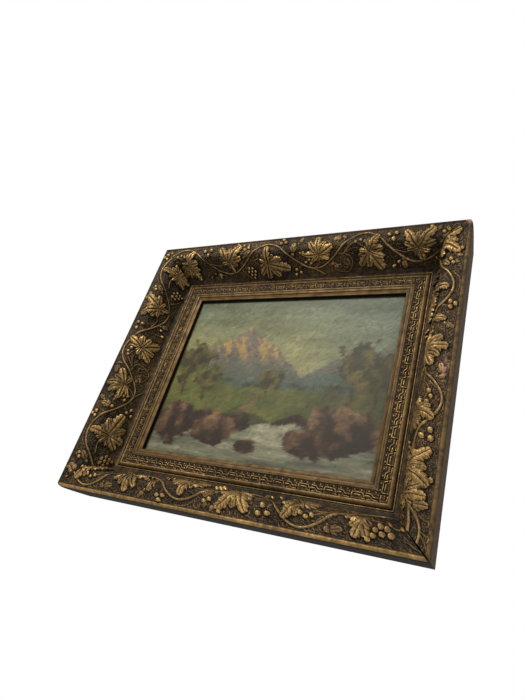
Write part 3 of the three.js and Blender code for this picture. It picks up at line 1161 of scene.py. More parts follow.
@dataclass
class Rail:
    """One mitred length of the moulding, with its share of the vine."""

    side: Side
    outline: Outline
    moulding: Moulding
    run: Run
    columns: int
    # How far each mitre stands open at the front, and the radius its corner is rubbed to.
    start_gap: float = 0.02
    end_gap: float = 0.02
    worn_start: float = 0.0
    worn_end: float = 0.0
    # How far the outer edge, the bead and the outer side are rubbed towards gold; the bottom and right rails'
    # edge and bead are set brighter as painted highlight, the right side lighter as painted light, and the
    # bottom's underside near black as painted shade.
    round_rub_and_highlight: float = 0.05
    bead_rub_and_highlight: float = 0.08
    side_rub_and_shade: float = 0.20
    # The stretch of the rail where the corner's own ornament lies in place of the repeat.
    bare: tuple[float, float] = (-200.0, -200.0)
    corner: CrestOrnament | None = None
    wears: tuple[Wear, ...] = ()

    def carve(self, relief: ReliefMap) -> None:
        """Lays the running vine on the map.

        Args:
            relief: the map of the unrolled face.
        """
        length = self.outline.length(self.side)
        first, last = self.run.span(length)
        turns = np.arange(first, last, 0.06)
        along = self.run.along(turns) - length / 2
        inside = np.abs(along) < length / 2 + 12
        vine = list(zip(along[inside], self.moulding.vine_across(turns)[inside]))
        radius = self.moulding.vine_radius
        Stem(tuple(vine), radius, radius).carve(relief, vine)
        for crest in range(2 * math.ceil(first / 2), last + 1, 2):
            ornament = FIRST_CREST if crest % TURNS_IN_REPEAT == 0 else SECOND_CREST
            self.carve_crest(relief, ornament, crest)
        if self.corner is not None:
            self.carve_corner(relief, self.corner)

    def carve_crest(self, relief: ReliefMap, ornament: CrestOrnament, crest: int) -> None:
        """Lays what belongs to one crest.

        Args:
            relief: the map.
            ornament: the leaves, berries and stems.
            crest: the crest's number among the vine's turns.
        """
        half = self.outline.length(self.side) / 2

        def placed(place: Place) -> Place:
            """Gives the place on this rail of a place drawn from the crest."""
            return float(self.run.along(crest + place[0] / DRAWN_TURN)) - half, place[1]

        def kept(along: float) -> bool:
            """Tells if the repeat runs on at a place, which is where no corner ornament lies."""
            return not self.bare[0] < along + half < self.bare[1]

        for stem in ornament.stems:
            places = [placed(place) for place in stem.places]
            middle = sum(place[0] for place in places) / len(places)
            if min(abs(place[0]) for place in places) < half + 8 and kept(middle):
                stem.carve(relief, places)
        for form in (*ornament.leaves, *ornament.berries):
            at = placed(form.at)
            if abs(at[0]) < half + 48 and kept(at[0]):
                form.carve(relief, at)

    def carve_corner(self, relief: ReliefMap, ornament: CrestOrnament) -> None:
        """Lays the ornament that fills a corner, with places from the rail's left end."""
        half = self.outline.length(self.side) / 2
        for stem in ornament.stems:
            stem.carve(relief, [(along - half, across) for along, across in stem.places])
        for form in (*ornament.leaves, *ornament.berries):
            form.carve(relief, (form.at[0] - half, form.at[1]))

    def fret(self, along: np.ndarray, across: np.ndarray) -> np.ndarray:
        """Gives the height of the band's stepped key pattern, with its pearls.

        Args:
            along: places along the rail.
            across: places across the band, from its outer edge.

        Returns:
            The height at each place.
        """
        height = np.zeros(np.broadcast(along, across).shape)
        place = np.mod(along, KEY_PITCH)
        for shift in (-KEY_PITCH, 0.0, KEY_PITCH):
            p = place + shift
            for line in KEY_RIDGES:
                height = np.maximum(height, 0.9 * step(line_distance(p, across, line), 1.15, 0.35))
            for pearl in KEY_PEARLS:
                share = 1.0 - (np.hypot(p - pearl[0], across - pearl[1]) / 1.75) ** 2
                height = np.maximum(height, 1.5 * np.sqrt(np.clip(share, 0.0, 1.0)))
        for shift in (-KEY_PITCH, 0.0, KEY_PITCH):
            for line in KEY_GROOVES:
                height = height - 1.4 * step(line_distance(place + shift, across, line), 1.25, 0.5)
        inside = step(across, 0.2, 0.7) * step(across, 15.3, 14.8)
        return height * inside

    def profile_lines(self, across: np.ndarray, bead: float, lip: float) -> np.ndarray:
        """Gives the fine runs between the floor, the bead and the lip.

        Args:
            across: places across the face.
            bead: where the bead starts.
            lip: where the inner lip is.

        Returns:
            The height at each place.
        """
        outer_groove = -0.9 * step(np.abs(across - (bead - 4.2)), 0.9, 0.4)
        fillet = 0.5 * step(np.abs(across - (bead - 2.9)), 0.9, 0.4)
        quirk = -1.2 * step(np.abs(across - (bead - 0.9)), 1.2, 0.5)
        inner = -1.2 * step(np.abs(across - (bead + 9.0)), 1.0, 0.4)
        rim = 0.6 * step(across, lip - 1.3, lip - 0.8)
        return outer_groove + fillet + quirk + inner + rim

    def build(self) -> bpy.types.Object:
        """Carves and dresses the rail.

        Returns:
            The piece.
        """
        path = self.moulding.section()
        zero = (self.moulding.ground_start, self.moulding.ground_depth)
        inward, depth, outward, across = path.arrays(zero)
        length = self.outline.length(self.side)
        front = np.searchsorted(across, self.across_of(inward, across, self.moulding.lip))
        bead = self.across_of(inward, across, self.moulding.bead_start)
        lip = across[front]
        relief = ReliefMap(length, -8.0, lip + 1.0)
        self.carve(relief)
        carved = relief.height.copy()
        self.add_ground(relief, bead, lip)
        fields = self.finish_fields(relief, carved, bead)

        on_face = (across > -7.5) & (across < lip - 0.02)
        share = np.linspace(0.0, 1.0, self.columns)[:, None]
        start = -length / 2 + inward
        along = start[None, :] * (1 - 2 * share)
        wide = np.broadcast_to(across[None, :], along.shape)
        raised = relief.read(relief.height, along, wide) * on_face[None, :]
        moved_in = inward[None, :] + raised * outward[None, :, 0]
        moved_depth = depth[None, :] + raised * outward[None, :, 1]
        start = moved_in - length / 2 + self.opening(self.start_gap, moved_in, moved_depth)
        end = length / 2 - moved_in - self.opening(self.end_gap, moved_in, moved_depth)
        along = start + share * (end - start)
        moved_in = self.worn_in(along + length / 2, moved_in, self.worn_start)
        moved_in = self.worn_in(length / 2 - along, moved_in, self.worn_end)
        points = self.outline.place(self.side, along, moved_in, moved_depth).reshape(-1, 3)
        numbers = {
            key: (relief.read(values, along, wide) * on_face[None, :] + missing * ~on_face[None, :]).ravel()
            for key, (values, missing) in fields.items()
        }
        faces = strip_faces(self.columns, len(inward))
        piece = mesh_piece(f"carved_rail_{self.side.word}", points, faces, numbers)
        self.dress(piece, path, len(inward))
        return piece

    def opening(self, gap: float, inward: np.ndarray, depth: np.ndarray) -> np.ndarray:
        """Gives how far a mitred end stands back: widest at the front of the outer edge."""
        front = step(depth, self.moulding.depth * 0.35, 0.0)
        outer = step(inward, self.moulding.lip, 0.0)
        return 0.02 + gap * math.sqrt(2) * front * outer

    def worn_in(self, from_end: np.ndarray, inward: np.ndarray, radius: float) -> np.ndarray:
        """Gives places inward, kept inside a corner that is rubbed to a radius."""
        if radius == 0.0:
            return inward
        apart = np.clip(radius - from_end, 0.0, radius)
        limit = radius - np.sqrt(radius**2 - apart**2)
        return np.maximum(inward, np.where(from_end < radius, limit, -1.0))

    def across_of(self, inward: np.ndarray, across: np.ndarray, place: float) -> float:
        """Gives the distance across the face where it first reaches a place inward."""
        return float(across[int(np.argmax(inward >= place - 1e-6))])

    def add_ground(self, relief: ReliefMap, bead: float, lip: float) -> None:
        """Adds the stippled ground, the hatched foot, the fine runs and the band's key pattern.

        Args:
            relief: the map.
            bead: where the bead starts.
            lip: where the inner lip is.
        """
        along = relief.along[:, None]
        across = relief.across[None, :]
        bare = step(relief.height, 0.8, 0.1)
        worm = worm_tracks(along, across, 3.1, 11 + self.side.value)
        on_ground = step(across, 0.4, 1.4) * step(across, 82.0, 76.0)
        hatch = np.sin(2 * math.pi * (along + 0.25 * across) / 2.6)
        on_foot = step(across, 73.0, 78.0) * step(across, 88.0, 84.0)
        relief.height = relief.height + bare * (1.15 * worm * on_ground + 0.32 * hatch * on_foot)
        relief.height = relief.height + self.profile_lines(across, bead, lip)
        relief.height = relief.height + self.fret(along, across - (bead + 9.0))

    def finish_fields(
        self, relief: ReliefMap, carved: np.ndarray, bead: float
    ) -> dict[str, tuple[np.ndarray, float]]:
        """Works out where the gold is rubbed bare, where the hollows are darkened with umber toning and
        painted shade, and where the finish is worn.

        Args:
            relief: the finished map.
            carved: the heights of the vine alone.
            bead: where the bead starts.

        Returns:
            Each field, with its value off the face.
        """
        standing = relief.height - blurred(relief.height, 8)
        fine = relief.height - blurred(relief.height, 2)
        form = step(carved, 0.4, 1.2)
        rub = self.rubbed(relief, carved, form, standing, fine) + self.rubbed_runs(relief, fine, bead)
        # Hollows beside and between the forms are darkened: umber toning together with painted shade in the
        # recesses.
        grime_and_shade = np.clip(-0.16 * standing - 0.75 * fine, 0.0, 1.0) * (1 - 0.25 * form)
        return {
            "rub": (np.clip(rub, 0.0, 1.3), self.side_rub_and_shade),
            "grime_and_shade": (grime_and_shade, 0.0),
            "worn": (self.worn_places(relief), 0.0),
        }

    def rubbed(
        self,
        relief: ReliefMap,
        carved: np.ndarray,
        form: np.ndarray,
        standing: np.ndarray,
        fine: np.ndarray,
    ) -> np.ndarray:
        """Gives how far the carving is rubbed: most where it stands high or has an edge.

        Args:
            relief: the finished map.
            carved: the heights of the vine alone.
            form: 1 on the vine and 0 beside it.
            standing: how high each place stands above what is round it.
            fine: the same, over a shorter distance.

        Returns:
            The rubbing, 0 for none and 1 for bare gold.
        """
        along = relief.along[:, None]
        across = relief.across[None, :]
        patch = clouds(along, across, 52.0, 71 + self.side.value, 3)
        fleck = clouds(along, across, 4.0, 90 + self.side.value, 2)
        rub = 0.25 + 0.07 * form + 0.052 * np.clip(carved, 0, 7) * form
        rub = rub + 0.11 * np.clip(standing, -1.5, 2.0) + (0.75 - 0.15 * form) * np.clip(fine, -0.6, 0.7)
        return rub + 0.11 * patch + 0.10 * fleck

    def rubbed_runs(self, relief: ReliefMap, fine: np.ndarray, bead: float) -> np.ndarray:
        """Gives how much more the outer edge, the bead, its fillets and the band are rubbed towards gold,
        with painted highlight on the rails that are set brighter.

        Args:
            relief: the finished map.
            fine: how high each place stands above what is close round it.
            bead: where the bead starts.

        Returns:
            The added rubbing.
        """
        across = relief.across[None, :]
        on_round = step(across, 0.8, -0.8)
        on_bead = step(across, bead - 0.2, bead + 0.4) * step(across, bead + 8.4, bead + 7.8)
        bead_edge = step(np.abs(across - (bead + 7.2)), 1.5, 0.7)
        on_band = step(across, bead + 9.4, bead + 10.2)
        pattern = self.bead_rub_and_highlight * on_band * np.clip(2.2 * fine, -1.0, 1.6)
        on_fillet = step(np.abs(across - (bead - 2.9)), 1.1, 0.6)
        edges = self.round_rub_and_highlight * on_round + 0.30 * bead_edge + 0.14 * on_fillet
        return 0.9 * pattern - 0.07 * on_band + self.bead_rub_and_highlight * on_bead + edges

    def worn_places(self, relief: ReliefMap) -> np.ndarray:
        """Gives 1 on the rubbed and knocked places and 0 elsewhere."""
        along = relief.along[:, None]
        across = relief.across[None, :]
        worn = np.zeros(relief.height.shape)
        for wear in self.wears:
            length = self.outline.length(self.side)
            apart = np.hypot(
                (along + length / 2 - wear.along) / wear.length, (across - wear.across) / wear.width
            )
            ragged = clouds(along, across, 6.0, 5, 2)
            worn = np.maximum(worn, step(apart + 0.35 * ragged, 1.0, 0.55))
        return worn

    def dress(self, piece: bpy.types.Object, path: SectionPath, rows: int) -> None:
        """Gives the face its bronzing, and the back and the rabbet their bare wood.

        Args:
            piece: the rail.
            path: its section.
            rows: the points once round it.
        """
        piece.data.materials.append(FINISHES["ornament"])
        piece.data.materials.append(FINISHES["upright_wood" if self.side.is_upright else "level_wood"])
        corners = sorted(path.corners)
        bare_from = corners[2]
        index = np.zeros(len(piece.data.polygons), np.int32)
        quads = (self.columns - 1) * rows
        index[:quads] = np.tile(np.arange(rows) >= bare_from, self.columns - 1)
        index[quads:] = 1
        piece.data.polygons.foreach_set("material_index", index)
        rank = np.zeros((self.columns, rows), np.int32)
        for bit, corner in enumerate(corners):
            rank[:, corner] |= 1 << bit
        rank[0, :] |= 1 << 20
        rank[-1, :] |= 1 << 21
        crease(piece, rank.ravel())
        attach(piece, BODY)
        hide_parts(f"rail_{self.side.word}")


# ---- The slip ----


# Painted shade on each length of the slip, darker on the right and bottom, over and above the darkening in
# its grooves.
SLIP_SIDE_SHADE = {Side.TOP: 0.0, Side.RIGHT: 0.34, Side.BOTTOM: 0.20, Side.LEFT: 0.0}


@dataclass
class Slip:
    """One mitred length of the smooth gilt slip."""

    side: Side
    outline: Outline
    outer: float = 94.1
    shelf: float = 58.5
    back_outer: float = 84.3
    lip_depth: float = 53.0
    lip_width: float = 3.4
    step_start: float = 102.0
    step_depth: float = 56.0
    sight: float = 108.8
    sight_depth: float = 58.7
    thickness: float = 6.9
    rabbet_wall: float = 101.5
    back: float = 81.7
    columns: int = 90
    dulled: float = 0.0

    def section(self) -> SectionPath:
        """Draws the slip's section, once round, from the outer edge of its back."""
        path = SectionPath().begin(self.back_outer, self.back)
        path.line(self.back_outer, self.shelf, 8.0, hard=True)
        path.line(self.outer, self.shelf, 5.0, hard=True)
        path.line(self.outer, self.lip_depth + 1.0, 2.0)
        path.bend((self.outer, self.lip_depth), (self.outer + 1.0, self.lip_depth), 0.35)
        path.line(self.outer + self.lip_width - 1.0, self.lip_depth, 0.7)
        end = self.outer + self.lip_width
        path.bend((end, self.lip_depth), (end, self.lip_depth + 1.2), 0.35)
        path.line(self.step_start, self.step_depth - 1.0, 0.7)
        path.line(self.step_start + 0.3, self.step_depth, 0.4)
        pull = (self.step_start + 3.0, self.sight_depth - 1.4)
        path.bend(pull, (self.sight - 1.6, self.sight_depth - 0.6), 0.7)
        path.bend((self.sight, self.sight_depth - 0.6), (self.sight, self.sight_depth + 0.8), 0.4)
        path.line(self.sight, self.sight_depth + self.thickness, 1.5, hard=True)
        path.line(self.rabbet_wall, self.sight_depth + self.thickness, 4.0, hard=True)
        path.line(self.rabbet_wall, self.back, 8.0, hard=True)
        path.line(self.back_outer + 6.0, self.back, 6.0)
        return path

    def build(self) -> bpy.types.Object:
        """Shapes and dresses the slip.

        Returns:
            The piece.
        """
        path = self.section()
        inward, depth, outward, across = path.arrays((self.outer, self.shelf))
        length = self.outline.length(self.side)
        gap = 0.15 * math.sqrt(2)
        share = np.linspace(0.0, 1.0, self.columns)[:, None]
        half = length / 2 - inward - gap
        along = -half + 2 * share * half
        wide = np.broadcast_to(across[None, :], along.shape)
        uneven = 0.12 * clouds(along, wide, 30.0, 300 + self.side.value, 2)
        faced = ((across > 5.0) & (inward > self.outer - 0.01) & (depth < self.sight_depth))[None, :]
        moved_depth = depth[None, :] + uneven * faced
        points = self.outline.place(self.side, along, np.broadcast_to(inward, along.shape), moved_depth)
        # The grooves are darkened; the sight-edge face gets painted shade, near black on the top and left
        # lengths; each length adds its own painted shade.
        line = np.exp(-(((inward - self.step_start - 0.2) / 0.5) ** 2))
        line = line + np.exp(-(((inward - self.outer - self.lip_width) / 0.45) ** 2))
        edge = step(depth, self.sight_depth - 0.2, self.sight_depth + 0.7) * (inward > self.step_start)
        edge_shade = 1.0 if self.side in (Side.TOP, Side.LEFT) else 0.45
        dirt_and_shade = self.dulled + 0.80 * np.clip(line, 0, 1) + edge_shade * edge
        numbers = {
            "along": along.ravel(),
            "across": wide.ravel(),
            "grime_and_shade": np.broadcast_to(np.clip(dirt_and_shade, 0, 1), along.shape).ravel(),
        }
        rows = len(inward)
        faces = strip_faces(self.columns, rows)
        piece = mesh_piece(f"gilt_slip_{self.side.word}", points.reshape(-1, 3), faces, numbers)
        self.dress(piece, path, rows)
        return piece

    def dress(self, piece: bpy.types.Object, path: SectionPath, rows: int) -> None:
        """Gives the face its gilding and the rest its bare wood."""
        piece.data.materials.append(FINISHES["slip"])
        piece.data.materials.append(FINISHES["upright_wood" if self.side.is_upright else "level_wood"])
        corners = sorted(path.corners)
        row = np.arange(rows)
        bare = (row < corners[2]) | (row >= corners[4])
        index = np.ones(len(piece.data.polygons), np.int32)
        index[: (self.columns - 1) * rows] = np.tile(bare, self.columns - 1)
        piece.data.polygons.foreach_set("material_index", index)
        rank = np.zeros((self.columns, rows), np.int32)
        for bit, corner in enumerate(corners):
            rank[:, corner] |= 1 << bit
        rank[0, :] |= 1 << 20
        rank[-1, :] |= 1 << 21
        crease(piece, rank.ravel())
        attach(piece, BODY)
        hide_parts(f"slip_{self.side.word}")


# ---- The picture ----


class Landscape:
    """A made-up lake among mountains, painted in short strokes."""

    sky_top: Colour = (0.37, 0.40, 0.33)
    sky_low: Colour = (0.50, 0.50, 0.34)
    sky_far: Colour = (0.32, 0.37, 0.34)
    peak_lit: Colour = (0.60, 0.49, 0.31)
    peak_shade: Colour = (0.38, 0.36, 0.33)
    far_hill: Colour = (0.27, 0.33, 0.30)
    meadow: Colour = (0.29, 0.32, 0.17)
    meadow_lit: Colour = (0.41, 0.41, 0.22)
    tree: Colour = (0.18, 0.18, 0.105)
    tree_lit: Colour = (0.35, 0.32, 0.17)
    rock: Colour = (0.17, 0.13, 0.11)
    rock_lit: Colour = (0.47, 0.365, 0.275)
    lake: Colour = (0.50, 0.50, 0.43)
    lake_deep: Colour = (0.29, 0.31, 0.27)
    dusk: Colour = (0.27, 0.31, 0.27)
    scar: Colour = (0.40, 0.24, 0.15)
    track: Colour = (0.42, 0.35, 0.24)
    bark: Colour = (0.20, 0.15, 0.10)
    # Each range's peaks: place across, height, and fall on either side.
    far_peaks: tuple[tuple[float, float, float], ...] = (
        (0.33, 0.82, 1.15),
        (0.19, 0.71, 1.3),
        (0.47, 0.70, 1.2),
        (0.80, 0.64, 0.8),
    )
    near_peaks: tuple[tuple[float, float, float], ...] = ((1.02, 0.68, 0.62), (0.02, 0.60, 0.7))
    # Each tree's foot, height, spread and seed, and each boulder's middle and half size.
    trees: tuple[tuple[Place, float, float, int], ...] = (
        ((0.50, 0.40), 0.13, 0.90, 71),
        ((0.86, 0.38), 0.30, 0.62, 73),
        ((0.95, 0.35), 0.26, 0.80, 75),
        ((0.09, 0.36), 0.34, 0.50, 77),
        ((0.20, 0.34), 0.22, 0.70, 79),
    )
    boulders: tuple[tuple[Place, Place], ...] = (
        ((0.10, 0.20), (0.12, 0.13)),
        ((0.31, 0.17), (0.10, 0.09)),
        ((0.83, 0.22), (0.14, 0.14)),
        ((0.70, 0.15), (0.07, 0.07)),
        ((0.47, 0.10), (0.05, 0.035)),
    )
    strokes: int = 14000
    water_top: float = 0.15

    def __init__(self, columns: int, rows: int, aspect: float) -> None:
        """Starts a bare ground.

        Args:
            columns: the points across.
            rows: the points up.
            aspect: its width over its height.
        """
        self.x, self.y = np.meshgrid(np.linspace(0, 1, columns), np.linspace(0, 1, rows), indexing="ij")
        self.wide = self.x * aspect
        self.colour = np.zeros((columns, rows, 3))
        self.body = np.full((columns, rows), 0.35)

    def noise(self, size: float, seed: int, octaves: int = 3) -> np.ndarray:
        """Gives clouds over the picture; size is in heights of the picture."""
        return clouds(self.wide, self.y, size, seed, octaves)

    def cover(self, mask: np.ndarray, colour: np.ndarray | Colour) -> None:
        """Paints a colour where a mask is 1."""
        tone = np.broadcast_to(np.array(colour, float), self.colour.shape)
        self.colour = self.colour * (1 - mask[..., None]) + tone * mask[..., None]

    def between(self, first: Colour, second: Colour, share: np.ndarray) -> np.ndarray:
        """Gives colours between two, by a share at each point."""
        share = np.clip(share, 0, 1)[..., None]
        return np.array(first) * (1 - share) + np.array(second) * share

    def below(self, line: np.ndarray, soft: float = 0.006) -> np.ndarray:
        """Gives 1 under a line and 0 above it."""
        return step(line - self.y, -soft, soft)

    def paint_sky(self) -> None:
        """Paints the sky: cool above, a warm glow low on the left, cloud drawn out on a slant."""
        base = self.between(self.sky_low, self.sky_top, step(self.y, 0.55, 1.0))
        base = base + (np.array(self.sky_far) - base) * step(self.x, 0.45, 1.1)[..., None] * 0.8
        drift = clouds(self.wide * 0.35 + self.y * 0.5, self.y * 2.2, 0.13, 3, 4)
        base = base + 0.045 * drift[..., None]
        self.cover(np.ones_like(self.x), base)

    def ridge(self, peaks: Sequence[tuple[float, float, float]], floor: float, seed: int) -> np.ndarray:
        """Gives the skyline of a range.

        Args:
            peaks: each peak's place, height and fall on either side.
            floor: the height of the range between its peaks.
            seed: which crags.

        Returns:
            The skyline's height at each point.
        """
        line = np.full(self.x.shape, floor)
        for place, height, fall in peaks:
            line = np.maximum(line, height - fall * np.abs(self.x - place))
        crag = clouds(self.wide, np.zeros_like(self.y), 0.11, seed, 5)
        return line + 0.022 * crag

    def paint_range(self) -> None:
        """Paints the far range, lit from the left, and a nearer dusky shoulder."""
        far = self.ridge(self.far_peaks, 0.5, 21)
        crag = clouds(self.wide + 0.55 * self.y, self.y * 0.6, 0.085, 24, 4)
        slope = clouds(self.wide + 0.55 * self.y + 0.012, self.y * 0.6, 0.085, 24, 4) - crag
        lit = step(slope, -0.05, 0.10) * step(self.y, 0.50, 0.66)
        tone = self.between(self.peak_shade, self.peak_lit, lit)
        haze = step(self.y, 0.66, 0.48)[..., None]
        tone = tone * (1 - 0.6 * haze) + np.array(self.far_hill) * 0.6 * haze
        self.cover(self.below(far), tone)
        near = self.ridge(self.near_peaks, 0.455, 33)
        dusk = self.between(self.far_hill, self.dusk, 0.5 + 0.7 * self.noise(0.16, 35))
        self.cover(self.below(near, 0.01), dusk)

    def paint_lake(self) -> None:
        """Paints the water in front: pale level streaks, brightest where it runs out of the meadow."""
        bend = 0.10 * step(np.abs(self.x - 0.58), 0.20, 0.05)
        shore = self.water_top + bend + 0.022 * clouds(self.wide, 0 * self.y, 0.16, 41, 3)
        streak = clouds(self.wide * 0.5, self.y * 6.0, 0.14, 43, 3)
        tone = self.between(self.lake_deep, self.lake, 0.55 + 0.5 * streak)
        glint = step(np.abs(self.x - 0.58 + 0.02 * streak), 0.16, 0.02) * step(self.y, 0.02, 0.16)
        tone = tone + (np.array(self.lake) * 1.25 - tone) * 0.6 * glint[..., None]
        self.cover(self.below(shore), tone)

    def paint_banks(self) -> None:
        """Paints the far woods, the meadow with its bare scars, and the brown bank before it."""
        far_wood = 0.45 + 0.03 * np.abs(clouds(self.wide, 0 * self.y, 0.05, 51, 3))
        strip = self.below(far_wood) * step(self.y, 0.405, 0.425)
        self.cover(strip, self.between(self.tree, self.far_hill, 0.55 + self.noise(0.05, 53)))
        edge = 0.43 + 0.20 * step(self.x, 0.36, 0.0) + 0.02 * clouds(self.wide, 0 * self.y, 0.16, 55, 3)
        field_tone = self.between(self.meadow, self.meadow_lit, 0.45 + 0.7 * self.noise(0.11, 57))
        field_tone = field_tone * (1.0 - 0.24 * step(self.x, 0.5, 0.9))[..., None]
        self.cover(self.below(edge, 0.008), field_tone)
        scar = step(self.noise(0.12, 58, 3), 0.25, 0.5) * step(self.x, 0.30, 0.18) * step(self.y, 0.36, 0.44)
        self.cover(0.7 * scar * self.below(edge, 0.008), self.scar)
        near = 0.28 + 0.06 * clouds(self.wide, 0 * self.y, 0.22, 59, 3)
        ground = self.between(self.rock, self.rock_lit, 0.30 + 1.0 * self.noise(0.10, 61, 4))
        grass = 0.55 * step(self.noise(0.13, 62), 0.1, 0.5)
        ground = ground + (np.array(self.meadow) - ground) * grass[..., None]
        self.cover(self.below(near, 0.008), ground)

    def paint_path(self) -> None:
        """Paints a pale path that winds up over the meadow."""
        middle = 0.40 + 0.06 * np.sin(22.0 * self.y)
        width = 0.030 * step(self.y, 0.44, 0.25) + 0.005
        span = step(self.y, 0.26, 0.30) * step(self.y, 0.43, 0.40)
        mask = step(np.abs(self.x - middle), width, width * 0.6) * span
        self.cover(0.7 * mask, self.track)

    def paint_tree(self, foot: Place, height: float, spread: float, seed: int) -> None:
        """Paints a tree.

        Args:
            foot: where it stands.
            height: how tall it is.
            spread: how wide its head is, for its height.
            seed: which tree.
        """
        trunk = step(np.abs(self.x - foot[0] - 0.01 * np.sin(9 * self.y)), 0.007, 0.003)
        trunk = trunk * step(self.y, foot[1] - 0.01, foot[1]) * step(self.y, foot[1] + height, foot[1])
        self.cover(trunk, self.bark)
        head = (foot[0], foot[1] + height * 0.62)
        apart = np.hypot((self.x - head[0]) / (0.5 * spread * height), (self.y - head[1]) / (0.42 * height))
        ragged = self.noise(0.05, seed, 4) * 0.42
        mask = step(apart + ragged, 1.0, 0.86)
        light = 0.35 + 0.9 * self.noise(0.035, seed + 1, 3) - 1.6 * (self.x - head[0])
        self.cover(mask, self.between(self.tree, self.tree_lit, light))

    def paint_rock(self, middle: Place, size: Place, seed: int) -> None:
        """Paints a boulder, lit on its upper left."""
        u = (self.x - middle[0]) / size[0]
        v = (self.y - middle[1]) / size[1]
        mask = step(np.hypot(u, v) + 0.24 * self.noise(0.05, seed, 3), 1.0, 0.9)
        light = 0.16 + 0.42 * (v - 0.5 * u) + 0.6 * self.noise(0.045, seed + 1, 3)
        self.cover(mask, self.between(self.rock, self.rock_lit, light))

    def paint(self) -> None:
        """Paints the picture, far things first, and then works it over in strokes."""
        self.paint_sky()
        self.paint_range()
        self.paint_banks()
        self.paint_lake()
        self.paint_path()
        for foot, height, spread, seed in self.trees:
            self.paint_tree(foot, height, spread, seed)
        for k, (middle, size) in enumerate(self.boulders):
            self.paint_rock(middle, size, 81 + 2 * k)
        self.work_over()

    def work_over(self) -> None:
        """Lays many short strokes of the colours that are there, each with its own ridge."""
        rng = np.random.default_rng(9)
        columns, rows = self.x.shape
        for _ in range(self.strokes):
            i = int(rng.integers(4, columns - 4))
            j = int(rng.integers(4, rows - 4))
            level = self.y[i, j] < self.water_top
            lean = rng.normal(0.0, 0.18) if level else rng.normal(0.5, 0.6)
            long = rng.uniform(2.5, 6.5)
            thin = rng.uniform(0.7, 1.4)
            reach = int(long + 2)
            part = (slice(max(i - reach, 0), i + reach + 1), slice(max(j - reach, 0), j + reach + 1))
            di = np.arange(columns)[part[0]][:, None] - i
            dj = np.arange(rows)[part[1]][None, :] - j
            on = (di * math.cos(lean) + dj * math.sin(lean)) / long
            off = (dj * math.cos(lean) - di * math.sin(lean)) / thin
            mask = np.clip(1.15 - np.hypot(on, off), 0.0, 1.0) ** 0.8 * 0.8
            tone = self.colour[i, j] * rng.uniform(0.84, 1.16) + rng.normal(0.0, 0.010, 3)
            self.colour[part] = self.colour[part] * (1 - mask[..., None]) + tone * mask[..., None]
            ridge = 0.35 + 0.5 * np.abs(off) * rng.uniform(0.5, 1.0)
            self.body[part] = self.body[part] * (1 - 0.6 * mask) + 0.6 * mask * np.clip(ridge, 0, 1)

    def linear(self) -> np.ndarray:
        """Gives the colours as light, under a brownish varnish that is deeper at the edges.

        A painted shadow of the frame darkens the canvas along the sight edge at the top and on the left.

        Returns:
            A colour for each point.
        """
        edge = np.minimum(np.minimum(self.x, 1 - self.x) * 1.28, np.minimum(self.y, 1 - self.y))
        dim = 0.86 + 0.14 * step(edge, 0.0, 0.10)
        # Painted shadow along the sight edge, at the top and on the left.
        sight_shadow = np.maximum(step(self.y, 0.972, 0.984), step(self.x, 0.024, 0.015))
        dim = dim * (1.0 - 0.92 * sight_shadow)
        shown = np.clip(self.colour, 0.0, 1.0) ** 2.2
        return shown * dim[..., None] * np.array((1.0, 0.97, 0.86))


